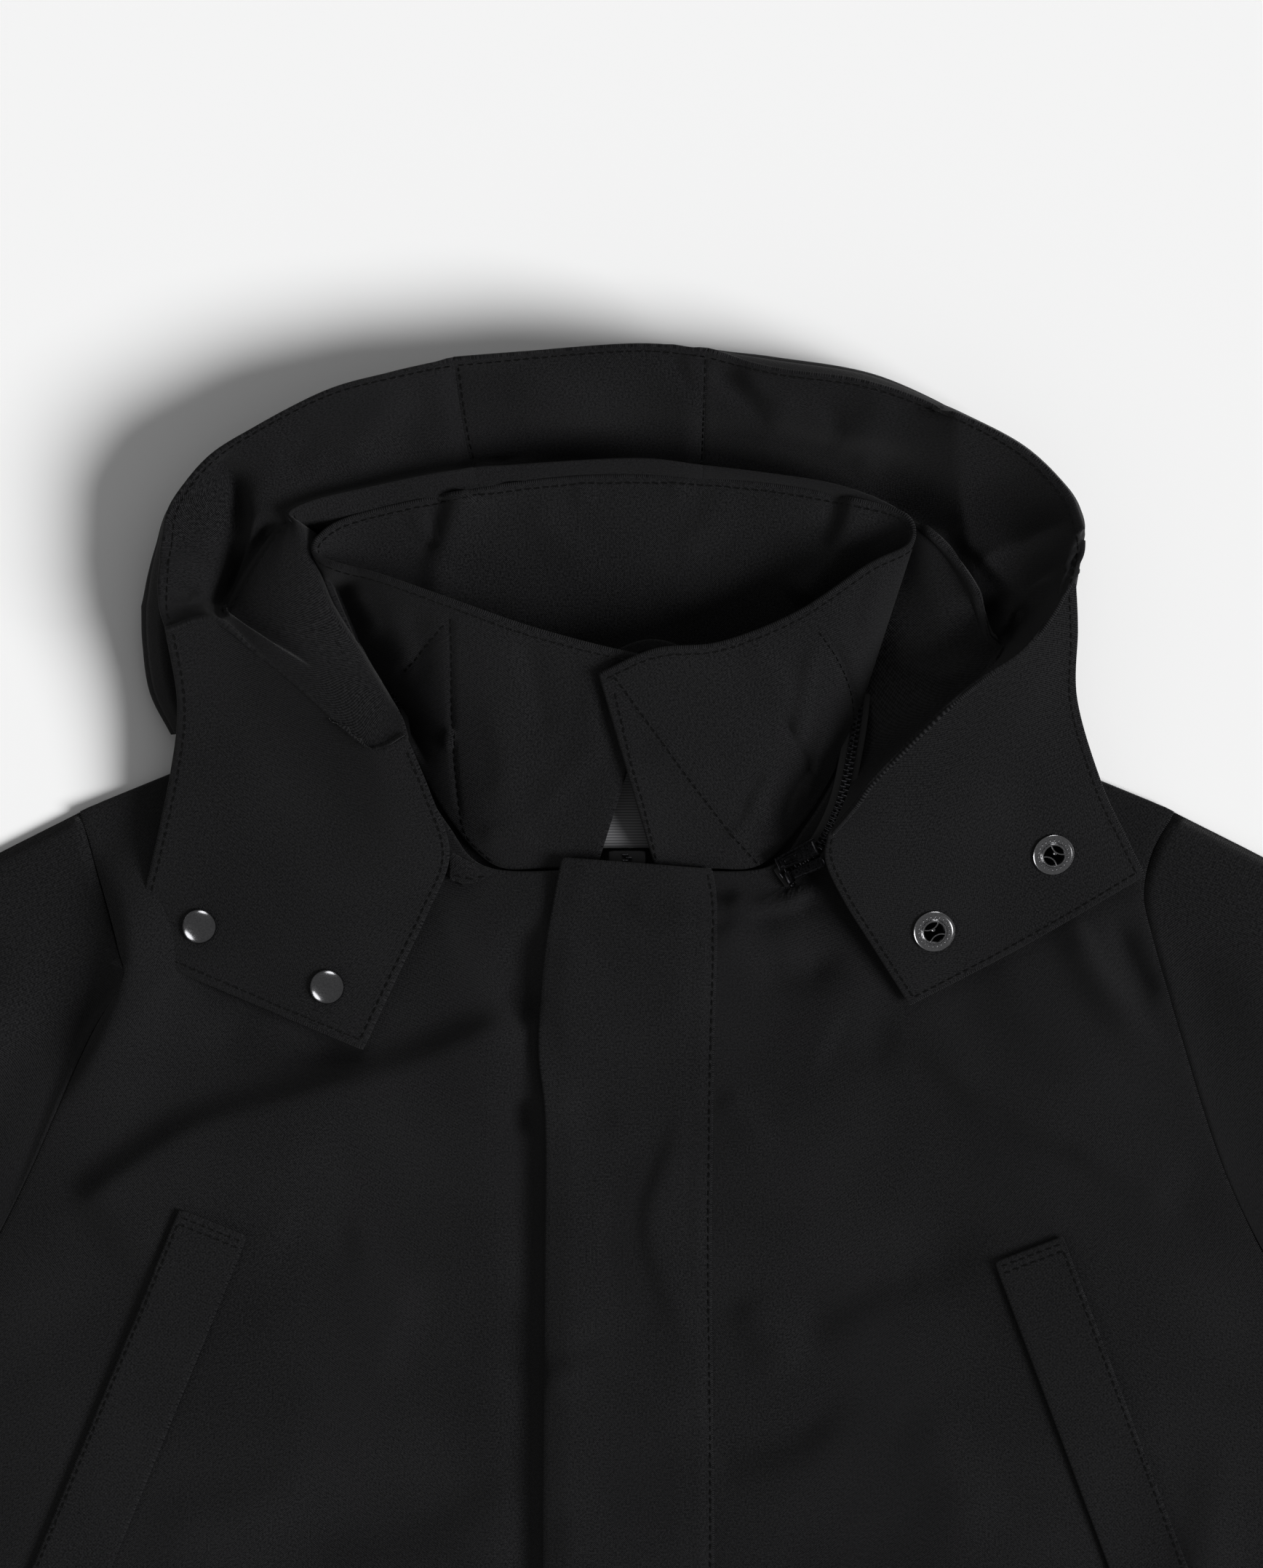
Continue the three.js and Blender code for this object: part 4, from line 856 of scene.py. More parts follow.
seamLeft = section(2, (42, 345, 3), (43, 384, 12), (32, 415.5, 26), (32.5, 426.3, 36), (32.4, 425, 23),
                   (32.7, 427.4, 7), (33.2, 441, 20), (33.5, 453, 34), (34, 475, 42))
sectionsLeft = [
    section(6, (58, 346, 3), (60, 384, 12), (57, 413, 26), (59, 423.2, 35), (58.8, 421.8, 22),
            (59.3, 424.2, 6), (61, 438, 22), (62, 450, 36), (63.5, 467, 43)),
    section(5, (78, 348, 3), (82, 383, 12), (83, 409, 25), (86, 418.6, 33), (86.2, 419.2, 24),
            (86.6, 420.2, 6), (93, 433, 22), (98, 443, 36), (104, 461, 44)),
    section(3, (93, 350, 3), (103, 380, 12), (104, 403, 24), (109, 411, 31), (109.4, 411.6, 22),
            (110, 412.6, 6), (123, 424, 22), (130, 434, 37), (141, 447, 45)),
    section(3, (98, 351, 3), (114, 384, 10), (116, 398, 25), (125, 400.3, 27), (126, 400.7, 26),
            (127, 401.2, 12), (140, 409, 17), (152, 419, 26), (168, 433, 46)),
    section(3, (102, 352, 3), (124, 388, 9), (112, 388, 21), (137, 388.5, 25), (138, 388.5, 24),
            (139, 388.7, 12), (149, 394, 16), (165, 405, 24), (186, 416, 46)),
    section(3.5, (109, 350, 3), (125, 369, 6), (108, 373, 17), (147, 372.5, 25), (148, 372.5, 24),
            (149, 372.7, 13), (157, 378, 16), (172, 390, 24), (192, 404, 46)),
    section(3, (115, 344, 3), (118, 346, 5), (105, 352, 11), (152, 355, 22.5), (153.5, 356, 21.5),
            (154.5, 357, 14), (160, 363, 17), (174, 378, 25), (194, 395, 46)),
]
hoodFolds = [
    fold([(-176, 430), (-168, 418), (-169, 400), (-170.5, 378),
          (-177, 364)], 5, 4, -7, fade=(0.05, 0.2), power=1.3),
    fold([(-149, 404), (-158.5, 391), (-168, 376), (-176, 360)], 1.6, 5, -10, fade=(0.2, 0.1)),
    fold([(-187, 422), (-180, 404), (-182, 386)], 6, 5, 3, power=1.3),
    fold([(-197, 396), (-187, 388), (-178, 390)], 2.4, 3.4, -3, power=1.4),
    fold([(-200, 384), (-190, 386), (-182, 387)], 2, 3, 2.6, power=1.3),
    fold([(-199, 378), (-188, 373), (-182, 374)], 2, 3, -3, power=1.4),
    fold([(-198, 369), (-187, 368), (-180, 374)], 2.5, 2.5, 2.4, power=1.3),
    fold([(-150, 428), (-140, 434), (-134, 446)], 9, 6, -3),
    fold([(-122, 424), (-112, 440), (-92, 462)], 9, 7, 3.4, power=1.5),
    fold([(-98, 428), (-92, 444), (-82, 458)], 6, 10, -2.5),
    fold([(-74, 472), (-71.6, 452), (-66.5, 426)], 24, 4, -5, fade=(0.15, 0)),
    fold([(-53.8, 431), (-54, 425), (-50, 412)], 4, 0.8, -2.2, fade=(0, 0.2)),
    fold([(-50, 468), (-30, 452), (10, 446)], 8, 8, 2.5),
    fold([(18, 476), (24, 466), (31, 454)], 2.5, 4, -3.6, power=1.4),
    fold([(34.4, 476), (33.5, 452), (32.6, 428)], 24, 3.5, -5, fade=(0.1, 0)),
    fold([(36, 472), (49, 457), (63, 440)], 6, 4, -4, power=1.5),
    fold([(46, 470), (60, 456), (76, 450)], 5, 6, 3, power=1.5),
    fold([(83, 460), (88, 442), (86, 428)], 6, 3, -3, power=1.5),
    fold([(82, 432), (96, 436), (112, 424)], 7, 5, 4),
    fold([(127, 404), (128, 386), (134, 366), (142, 348)], 12, 9, 5, fade=(0.15, 0.25)),
    fold([(104, 352), (122, 340), (146, 334)], 7, 9, -6, fade=(0.1, 0.2)),
    fold([(112, 458), (106, 446), (104, 432)], 7, 8, 2.5),
    fold([(140.5, 450), (141.3, 437), (143, 418), (147.5, 386.3),
          (154.4, 360)], 26, 13, 9, fade=(0.02, 0.12), power=1.2),
    fold([(150, 383), (158, 390), (169, 393.5), (183, 400),
          (194, 397)], 9, 17, 8, fade=(0.12, 0.02), power=1.2),
    fold([(194, 380), (183, 381), (174, 375), (165, 362),
          (156, 350)], 5, 5, 3.5, fade=(0.1, 0.1), power=1.2),
    fold([(172, 368), (167, 358), (163, 348)], 4, 4, -7),
]
# sections of the hidden layers alone, past both ends of the hood
heapEndsRight = [
    section(6, (-116, 334, 3), (-120, 332, 4), (-124, 330, 6), (-134, 326, 9), (-143, 322, 10),
            (-152, 319, 12), (-165, 316, 13), (-178, 313, 14), (-190, 312, 15)),
    section(8, (-116, 341, 3), (-120, 340, 4), (-124, 339, 6), (-134, 336, 9), (-143, 335, 10),
            (-152, 334, 12), (-165, 332, 14), (-178, 331, 16), (-197, 330, 20)),
    section(8, (-115, 350, 3), (-118, 350, 5), (-121, 350, 9), (-126, 348, 12), (-132, 345, 13),
            (-139, 342, 14), (-154, 345, 15), (-168, 348, 17), (-200, 350, 26)),
]
heapEndsLeft = [
    section(5, (116, 339, 3), (119, 338.5, 4), (122, 338, 5), (131, 336, 5), (139, 335, 5), (147, 334, 5),
            (160, 335, 9), (172, 340, 13), (184, 346, 22)),
]
# layers of the hood's edge below its rim, each with its share of the bulge, its inset and its share of
# the rim's height
edgeLayers = [(0.7, -0.5, 0.82), (0.75, 1.2, 0.64), (1, -0.6, 0.5), (0.9, 1.4, 0.3), (0.5, 3, 0.08)]


# the points of a section that show: all but those at the neck and under the collar
def columnsOf(row):
    return [row[name] for name in sectionNames[2:]]


# a side or the centre of the hood, with its folds
def hoodGridOf(sections):
    grid = gridThrough(sections, hood["rowSteps"], hood["columnSteps"])
    x, y = grid[..., 0], grid[..., 1]
    grid[..., 2] += foldHeight(x, y, hoodFolds) + unevenness(x, y, 60, 0.5, 11)
    grid[..., 2] = np.maximum(grid[..., 2], hood["lowest"])
    return grid


def makeHoodGrids():
    right = [ridgeRight, pocketRight, behindRight] + [columnsOf(row) for row in sectionsRight + [seamRight]]
    centre = [columnsOf(row) for row in (seamRight, centreSection, seamLeft)]
    left = [columnsOf(row) for row in [seamLeft] + sectionsLeft] + [pocketLeft, ridgeLeft]
    return {"right": hoodGridOf(right), "centre": hoodGridOf(centre), "left": hoodGridOf(left)}


# straight below each point, and further down where the cloth is steep
def underFace(grid, thickness):
    lean = np.maximum(facings(grid)[..., 2], hood["steepest"])
    lower = grid.copy()
    lower[..., 2] = np.maximum(lower[..., 2] - thickness / lean, 0.4)
    return lower


# both ends of a grid moved in, so that a seam stays open beside them
def drawnIn(grid, amount):
    grid = grid.copy()
    for end, towards in ((0, 1), (-1, -2)):
        reach = np.linalg.norm(grid[towards, :, :2] - grid[end, :, :2], axis=1, keepdims=True)
        grid[end] += (grid[towards] - grid[end]) * np.minimum(amount / reach, 0.8)
    return grid


def makeHoodPiece(name, node, grid):
    piece = clothPiece(name, node, drawnIn(grid, hood["seam"]), hood["wall"])


# rows of the hidden layers, each from the neck out to the hood's rim and down its layered edge
def heapRows(rows, necks, feet, bulges):
    rim = rows[:, -1]
    out = unit((rim - rows[:, -1 - hood["columnSteps"]]) * np.array([1, 1, 0]))
    layers = [rim]
    for share, inset, level in edgeLayers:
        spot = rim + out * (share * bulges - inset)[:, None]
        spot[:, 2] = level * rim[:, 2]
        layers.append(spot)
    last = layers[-1] * np.array([1, 1, 0])
    side = finer(layers + [last], 4)[1:-1].transpose(1, 0, 2)
    return np.concatenate([necks[:, None], feet[:, None], rows, side], axis=1)


# one row of the hidden layers from a section alone
def heapEnd(end):
    across = finer(columnsOf(end), hood["columnSteps"])
    return heapRows(across[None], *(np.array([end[key]], float) for key in ("neck", "foot", "bulge")))


# the upper side of the hidden layers: under all of the hood that shows, but for the rows that lead into the
# chin tabs, and past it at both ends
def heapTop(grids):
    steps = hood["rowSteps"]
    sections = sectionsRight + [seamRight, centreSection, seamLeft] + sectionsLeft
    shown = np.concatenate([grids["right"][3 * steps - steps // 2:], grids["centre"][1:],
                            grids["left"][1:-2 * steps]])
    under = underFace(shown, hood["wall"] + hood["heapGap"])
    places = (np.arange(len(under)) - steps // 2) / steps
    necks = through([row["neck"] for row in sections], places)
    feet = through([row["foot"] for row in sections], places)
    bulges = through([(row["bulge"],) for row in sections], places)[:, 0]
    rows = heapRows(under, necks, feet, bulges)
    first = np.concatenate([heapEnd(end) for end in heapEndsRight] + [rows[:1]])
    last = np.concatenate([rows[-1:]] + [heapEnd(end) for end in heapEndsLeft])
    return np.concatenate([finer(first, hood["endSteps"])[:-1], rows, finer(last, hood["endSteps"])[1:]])


def makeHeap(grids):
    upper = heapTop(grids)
    lower = np.linspace(upper[:, 0], upper[:, -1], upper.shape[1], axis=1)
    lower[..., 2] = 0
    count, columns = upper.shape[:2]
    points = np.vstack([upper.reshape(-1, 3), lower.reshape(-1, 3)])
    size = count * columns
    ring = np.array([i * columns + j for i, j in edgeOf(count, columns)])
    faces = facedOut(points, [
        quadsOf(count, columns), quadsOf(count, columns, size, True),
        np.column_stack([ring, ring + size, np.roll(ring, -1) + size, np.roll(ring, -1)]),
    ])
    places = clothPlaces(upper).reshape(-1, 2)
    piece = makePiece("hoodLayers", points, faces, np.vstack([places, places]))
    finishPiece(piece, shellMaterial, "hood_heap")


# Chin tabs, turned out from the ridges over the fronts

tabRightEdges = {
    "end": [(-114, 177, 15), (-164, 198, 14), (-214, 219, 12.5)],
    "inner": [(-95, 310.3, 49), (-85, 286, 41), (-77, 260, 29), (-86, 236, 20), (-100, 207, 16),
              (-114, 177, 15)],
    "rim": [(-197, 357, 37), (-192, 325, 30), (-195, 296, 23), (-204, 255, 16), (-214, 219, 12.5)],
}
tabLeftEdges = {
    "end": [(122, 196, 12.5), (172, 222, 13.5), (222, 251, 13)],
    "inner": [(87, 269, 36), (86, 257, 32), (94, 240, 24), (106, 221, 17), (122, 196, 12.5)],
    "rim": [(191, 377, 45), (192, 356, 42), (192, 326, 36), (203, 290, 25), (214, 267, 17), (222, 251, 13)],
}


def tabGrid(ridge, edges):
    top = finer(ridge, hood["columnSteps"])
    inner, rim = (evenly([edges[key]], hood["tabRows"]) for key in ("inner", "rim"))
    return patchInside(top, evenly([edges["end"]], len(top) - 1), inner, rim)


def makeTab(name, node, grid):
    grid = grid.copy()
    grid[0] += (grid[1] - grid[0]) * 0.3
    piece = clothPiece(name, node, grid, hood["wall"])


# Zips: tape, teeth, slider and pull

zipSize = {
    "tape": 9, "wall": 0.8, "frontTape": 15, "frontWall": 0.9, "pitch": 2.4, "toothSize": (2.6, 1.15, 1.3),
    "toothOff": 0.75, "toothLift": 0.12,
}
hoodZipLine = [
    (-66, 249.5, 12.6), (-80, 260, 12.6), (-91, 280, 12), (-97, 306, 11), (-100, 328, 8),
    (-99, 341, 4.5), (-86, 345, 2.3), (-50, 337, 2.3), (0, 334, 2.3), (50, 337, 2.3),
    (86, 345, 2.3), (99, 341, 4.5), (100, 328, 8), (97, 306, 11), (91, 280, 12),
    (80, 260, 12.6), (66, 249.5, 12.6),
]


# a level band along a line
def bandGrid(points, width, steps, across):
    line = evenly([points], steps)
    way = np.gradient(line, axis=0)
    way[:, 2] = 0
    way = unit(way)
    side = np.column_stack([-way[:, 1], way[:, 0], np.zeros(len(way))])
    share = np.linspace(-0.5, 0.5, across + 1)
    return line[:, None] + side[:, None] * share[None, :, None] * width


# A hard piece starts as a primitive at the origin, is shaped in edit mode and is then set on its place
def startPiece(name):
    piece = bpy.context.object
    piece.name = name
    piece.data.name = name
    return piece


def startEdit():
    bpy.ops.object.mode_set(mode="EDIT")


def endEdit():
    bpy.ops.object.mode_set(mode="OBJECT")


def applyPlace():
    bpy.ops.object.transform_apply(location=True, rotation=True, scale=True)


# faces or edges of a piece that pass a test, left selected in edit mode
def selectIn(piece, test, kind="FACE"):
    startEdit()
    bpy.ops.mesh.select_all(action="DESELECT")
    bpy.ops.mesh.select_mode(type=kind)
    endEdit()
    for item in piece.data.polygons if kind == "FACE" else piece.data.edges:
        item.select = bool(test(item))
    startEdit()


def faceUp(face):
    return face.normal.z > 0.9


def block(size, place):
    bpy.ops.object.select_all(action="DESELECT")
    bpy.ops.mesh.primitive_cube_add(size=1, location=tuple(v * mm for v in place))
    piece = bpy.context.object
    piece.scale = tuple(v * mm for v in size)
    applyPlace()
    return piece


# one tooth: a block with its head drawn in, modelled once and copied along the tape
def toothShape():
    tooth = block(zipSize["toothSize"], (0, 0, 0))
    selectIn(tooth, faceUp)
    bpy.ops.mesh.inset(thickness=0.3 * mm, depth=0.2 * mm)
    endEdit()
    points = np.array([v.co for v in tooth.data.vertices]) / mm
    faces = [tuple(face.vertices) for face in tooth.data.polygons]
    bpy.data.objects.remove(tooth)
    return points, faces


def zipTeeth(name, line):
    tooth, toothFaces = toothShape()
    lengths = lengthsOf(line)
    points, faces = [], []
    for k in range(int(lengths[-1] / (zipSize["pitch"] / 2))):
        at = (k + 0.5) * zipSize["pitch"] / 2
        here, ahead = alongLine(line, lengths, at + np.array([0, 0.6]))
        run = unit(ahead - here)
        beside = unit(np.array([-run[1], run[0], 0.0]))
        up = np.cross(run, beside)
        side = 1 if k % 2 else -1
        lift = 0.5 * zipSize["toothSize"][2] + zipSize["toothLift"]
        centre = here + beside * side * zipSize["toothOff"] + up * lift
        start = len(points)
        points.extend(centre + beside * p[0] + run * p[1] + up * p[2] for p in tooth)
        faces.extend(tuple(start + v for v in face) for face in toothFaces)
    piece = makePiece(name, points, faces)
    for face in piece.data.polygons:
        face.use_smooth = False
    finishPiece(piece, gunmetal)


def makeHoodZip():
    piece = clothWall("hoodZipTape", bandGrid(hoodZipLine, zipSize["tape"], 220, 6), zipSize["wall"])
    finishPiece(piece, tapeMaterial, "hood_zip")
    zipTeeth("hoodZipTeeth", evenly([hoodZipLine], 400))


def makeFrontZip():
    half = zipSize["frontTape"] / 2
    y, x = np.meshgrid(np.linspace(261, body["hemY"] + 6, 180), np.linspace(-half, half, 9), indexing="ij")
    grid = np.dstack([x, y, frontHeight(x, np.minimum(y, body["neckFrontY"]))])
    piece = clothWall("frontZipTape", grid, zipSize["frontWall"])
    finishPiece(piece, tapeMaterial, "front_zip")
    y = np.linspace(260, body["hemY"] + 8, 300)
    level = frontHeight(0 * y, np.minimum(y, body["neckFrontY"])) - 0.7
    zipTeeth("frontZipTeeth", np.column_stack([0 * y, y, level]))


def bevelled(piece, width, segments=3, angle=30):
    modifier = piece.modifiers.new("edges", "BEVEL")
    modifier.width = width
    modifier.segments = segments
    modifier.limit_method = "ANGLE"
    modifier.angle_limit = math.radians(angle)
    bpy.ops.object.modifier_apply(modifier=modifier.name)


# a piece set on a grid of cloth at a place in plan, a little above it and turned about its own axis
def setOn(piece, grid, x, y, lift, turn=0.0):
    spots, ways = layOn(grid, [(x - 0.5, y), (x + 0.5, y)])
    spot, way = Vector((spots[1] + ways[1] * lift) * mm), Vector(ways[1])
    matrix = Matrix.Translation(spot) @ way.to_track_quat("Z", "Y").to_matrix().to_4x4()
    piece.data.transform(matrix @ Matrix.Rotation(turn, 4, "Z"))
    piece.data.update()


def joined(pieces, name):
    bpy.ops.object.select_all(action="DESELECT")
    for piece in pieces:
        piece.select_set(True)
    bpy.context.view_layer.objects.active = pieces[0]
    bpy.ops.object.join()
    return startPiece(name)


snap = {
    "capRadius": 7.5, "capHigh": 2.6, "socketRadius": 9, "beads": 22, "beadRing": 6.6, "beadRadius": 0.42,
    "wireRing": 5, "wireRadius": 0.35, "wireAway": 6.6, "wireCut": 3.2,
    "stud": (1.0, 0, 0.2), "studRadius": 1.1,
    # the socket's rings from its edge inward: how wide, and how far up or down
    "rings": [(0.45, 0.3), (0.5, 0.1), (0.45, -0.3), (1.9, 0), (0.4, 1.0), (0.7, 0.2), (0.35, -1.3),
              (1.2, -0.2)],
}


# a ball of a radius at a place
def ball(radius, place, segments, rings):
    bpy.ops.mesh.primitive_uv_sphere_add(segments=segments, ring_count=rings, radius=radius * mm,
                                         location=tuple(v * mm for v in place))
    applyPlace()
    return bpy.context.object


# the part of the selected piece behind a plane across it, with the cut closed
def cutAt(place, normal, **side):
    startEdit()
    bpy.ops.mesh.select_all(action="SELECT")
    bpy.ops.mesh.bisect(plane_co=place, plane_no=normal, use_fill=True, **side)
    endEdit()


# domed cap: the top of a flattened ball on a thin rolled edge
def makeCap(name, node, grid, x, y):
    bpy.ops.object.select_all(action="DESELECT")
    bpy.ops.mesh.primitive_uv_sphere_add(segments=48, ring_count=24, radius=snap["capRadius"] * mm)
    cap = startPiece(name)
    cap.scale = (1, 1, snap["capHigh"] / snap["capRadius"])
    applyPlace()
    cutAt((0, 0, 0), (0, 0, 1), clear_inner=True)
    selectIn(cap, lambda face: face.normal.z < -0.9)
    bpy.ops.mesh.extrude_region_move(TRANSFORM_OT_translate={"value": (0, 0, -0.6 * mm)})
    bpy.ops.mesh.inset(thickness=0.4 * mm, depth=0)
    endEdit()
    bevelled(cap, 0.25 * mm, 2, 50)
    bpy.ops.object.shade_smooth_by_angle(angle=math.radians(40))
    setOn(cap, grid, x, y, 0.9)
    finishPiece(cap, satinNickel, node)


# the material is dark, as painted shade, where this attribute is 1: inside the recess, but not on the stud
def markRecess(socket):
    recess = socket.data.attributes.new("recess", "FLOAT", "POINT")
    stud = Vector(snap["stud"]) * mm
    for spot, vertex in zip(recess.data, socket.data.vertices):
        across = math.hypot(vertex.co.x, vertex.co.y) / mm
        fromStud = (vertex.co - stud).length / mm
        spot.value = float(across < 4.4 and vertex.co.z < 0.9 * mm and fromStud > 1.2)


# flanged socket: a flange with a raised, beaded edge, and a walled recess with two spring wires and a stud
def makeSocket(name, node, grid, x, y, turn):
    bpy.ops.object.select_all(action="DESELECT")
    bpy.ops.mesh.primitive_cylinder_add(vertices=64, radius=snap["socketRadius"] * mm, depth=0.8 * mm)
    socket = startPiece(name)
    selectIn(socket, faceUp)
    for thickness, depth in snap["rings"]:
        bpy.ops.mesh.inset(thickness=thickness * mm, depth=depth * mm)
    endEdit()
    bevelled(socket, 0.12 * mm, 2, 35)
    pieces = [socket]
    for k in range(snap["beads"]):
        angle = math.tau * k / snap["beads"]
        place = (snap["beadRing"] * math.cos(angle), snap["beadRing"] * math.sin(angle), 0.62)
        pieces.append(ball(snap["beadRadius"], place, 10, 6))
    for side in (-1, 1):
        bpy.ops.mesh.primitive_torus_add(
            major_radius=snap["wireRing"] * mm, minor_radius=snap["wireRadius"] * mm,
            major_segments=48, minor_segments=8, location=(side * snap["wireAway"] * mm, 0, 1.0 * mm))
        pieces.append(bpy.context.object)
        applyPlace()
        cutAt((side * snap["wireCut"] * mm, 0, 0), (side, 0, 0), clear_outer=True)
    pieces.append(ball(snap["studRadius"], snap["stud"], 20, 12))
    socket = joined(pieces, name)
    markRecess(socket)
    bpy.ops.object.shade_smooth_by_angle(angle=math.radians(35))
    setOn(socket, grid, x, y, 0.75, turn)
    finishPiece(socket, brightNickel, node)


# Slider and pull, modelled along x at the origin and then turned onto the zip

slider = {
    "place": (73, 259.5, 12.95), "turn": 25, "length": 19, "width": 8, "plate": 1.3, "pinX": -7, "pinZ": 2.25,
}


def rod(radius, length, place, fill="NGON"):
    bpy.ops.object.select_all(action="DESELECT")
    bpy.ops.mesh.primitive_cylinder_add(
        vertices=28, radius=radius * mm, depth=length * mm, end_fill_type=fill,
        location=tuple(v * mm for v in place), rotation=(math.pi / 2, 0, 0))
    applyPlace()
    return bpy.context.object


# a finished piece of the slider smoothed and set on its place on the zip
def ontoZip(piece):
    bpy.ops.object.shade_smooth_by_angle(angle=math.radians(35))
    place = Matrix.Translation(Vector(slider["place"]) * mm)
    piece.data.transform(place @ Matrix.Rotation(math.radians(slider["turn"]), 4, "Z"))
    piece.data.update()


# one plate of the slider, narrower at its nose and sunk within its rim
def sliderPlate(level, up):
    plate = block((slider["length"], slider["width"], slider["plate"]), (0, 0, level))
    selectIn(plate, lambda face: face.normal.x < -0.9)
    bpy.ops.transform.resize(value=(1, 0.72, 1))
    endEdit()
    selectIn(plate, lambda face: face.normal.z * up > 0.9)
    bpy.ops.mesh.inset(thickness=1.1 * mm, depth=0)
    bpy.ops.mesh.inset(thickness=0.3 * mm, depth=-0.55 * mm)
    endEdit()
    bevelled(plate, 0.35 * mm, 3, 40)
    return plate


def makeSlider():
    lower = sliderPlate(0.65, -1)
    upper = sliderPlate(3.85, 1)
    post = block((4, 3, 2.1), (5.5, 0, 2.25))
    bevelled(post, 0.4 * mm, 2)
    hinge = rod(0.7, 10.2, (slider["pinX"], -5.1, slider["pinZ"]))
    head = ball(1.4, (slider["pinX"], -10.6, slider["pinZ"]), 20, 12)
    bridge = block((6, 1.6, 1.0), (-3, 0, 4.9))
    bevelled(bridge, 0.45 * mm, 3)
    piece = joined([lower, upper, post, hinge, head, bridge], "zipSlider")
    ontoZip(piece)
    finishPiece(piece, gunmetal, "zip_slider")


def makePull():
    barrel = rod(1.9, 5, (slider["pinX"], -7.1, slider["pinZ"]), "NOTHING")
    wall = barrel.modifiers.new("wall", "SOLIDIFY")
    wall.thickness = 0.85 * mm
    wall.offset = -1
    bpy.ops.object.modifier_apply(modifier=wall.name)
    bevelled(barrel, 0.2 * mm, 2, 50)
    blade = block((15.4, 3.8, 1.2), (2.3, -7.1, slider["pinZ"]))
    selectIn(blade, lambda face: face.normal.x > 0.9)
    bpy.ops.transform.resize(value=(1, 1.36, 1))
    endEdit()

    # the two upright edges of its far end
    def atTip(edge):
        a, b = (blade.data.vertices[v].co for v in edge.vertices)
        return min(a.x, b.x) > 9 * mm and abs(a.z - b.z) > 1 * mm
    selectIn(blade, atTip, "EDGE")
    bpy.ops.mesh.bevel(offset=2.3 * mm, segments=8, affect="EDGES")
    endEdit()
    selectIn(blade, faceUp)
    bpy.ops.mesh.inset(thickness=0.6 * mm, depth=0)
    bpy.ops.mesh.inset(thickness=0.15 * mm, depth=-0.18 * mm)
    endEdit()
    bevelled(blade, 0.2 * mm, 2, 50)
    piece = joined([barrel, blade], "zipPull")
    ontoZip(piece)
    finishPiece(piece, gunmetal, "zip_pull", "pull")


# Small cloth trims

guardTop = [(-76, 260.5), (-67, 256), (-58.5, 252.5)]
guardBottom = [(-76, 249.5), (-68, 248), (-60, 250.5)]


def makeGuard():
    top, bottom = evenly([guardTop], 16), evenly([guardBottom], 16)
    left, right = (evenly([(guardTop[end], guardBottom[end])], 10) for end in (0, -1))
    flat = patchInside(top, bottom, left, right)
    x, y = flat[..., 0], flat[..., 1]
    grid = np.dstack([flat, 14.9 - 0.05 * (x + 76) + 0.5 * np.sin((x + y) / 2.6)])
    piece = clothPiece("zipGuard", "zip_guard", grid, 1.1)
    return grid


def makeRibbon():
    y, x = np.meshgrid(np.linspace(316, 263, 40), np.linspace(-17, 15, 24), indexing="ij")
    grid = np.dstack([x, y, 4 + 0.25 * np.sin(x / 7) * np.sin(y / 11)])
    piece = clothWall("neckRibbon", grid, 0.7)
    finishPiece(piece, ribbonMaterial, "neck_ribbon")


def makeHanger():
    line = [(-12, 330, 8.4), (-9, 342, 11.8), (11, 350, 14.1), (31, 342, 11.8), (34, 330, 8.4)]
    piece = clothPiece("hangerLoop", "hanger_loop", bandGrid(line, 4, 60, 5), 1.2)


# Topstitching

seamLines = {
    "flap": [(34.5, 252), (36.8, 238), (36.9, 213), (35.9, 177), (35.4, 145), (34.9, 80), (35.9, -46),
             (35.9, -470)],
    "collarFront": [
        [(-75.3, 362), (-74.4, 311.3), (-72.2, 290.6), (-69.5, 270), (-58, 257)],
        [(-78, 359), (-86, 349), (-95, 338.4)],
    ],
    "wing": [
        [(-6, 337), (10, 315), (38.4, 277), (56, 256)],
        [(-5.5, 330), (-2, 315), (2.6, 296), (6.8, 282), (12.5, 258)],
        [(81, 356), (90, 342), (95, 330), (96.5, 318)],
    ],
    "hoodRight": [(-145.5, 403), (-155.4, 389), (-164.6, 374), (-172, 362)],
}


# the collar's grid is the middle of its wall, so its stitches are lifted onto the side that faces up
def turnedUp(row):
    spots, ways = row
    ways = np.where(ways[:, 2:] < 0, -ways, ways)
    return spots + ways * collarSize["wall"] / 2, ways


def addBodyStitches():
    stitchRows("flapStitches", [layOn(flapShape, seamLines["flap"])])
    hemY = body["hemY"] + 22
    stitchRows("hemStitches", [layOn(front, [(side * 12, hemY), (side * 292, hemY)])
                               for front, side in ((frontRight, -1), (frontLeft, 1))])
    weltRows = []
    for grid in (weltRight, weltLeft):
        for share in (0.012, 0.03):
            weltRows.append(laySharesOn(grid, [(share, 0.03), (share, 0.97)], 20))
        weltRows.append(laySharesOn(grid, [(0.03, 0.96), (0.97, 0.96)]))
        weltRows.append(laySharesOn(grid, [(0.985, 0.03), (0.985, 0.97)], 20))
    stitchRows("weltStitches", weltRows)


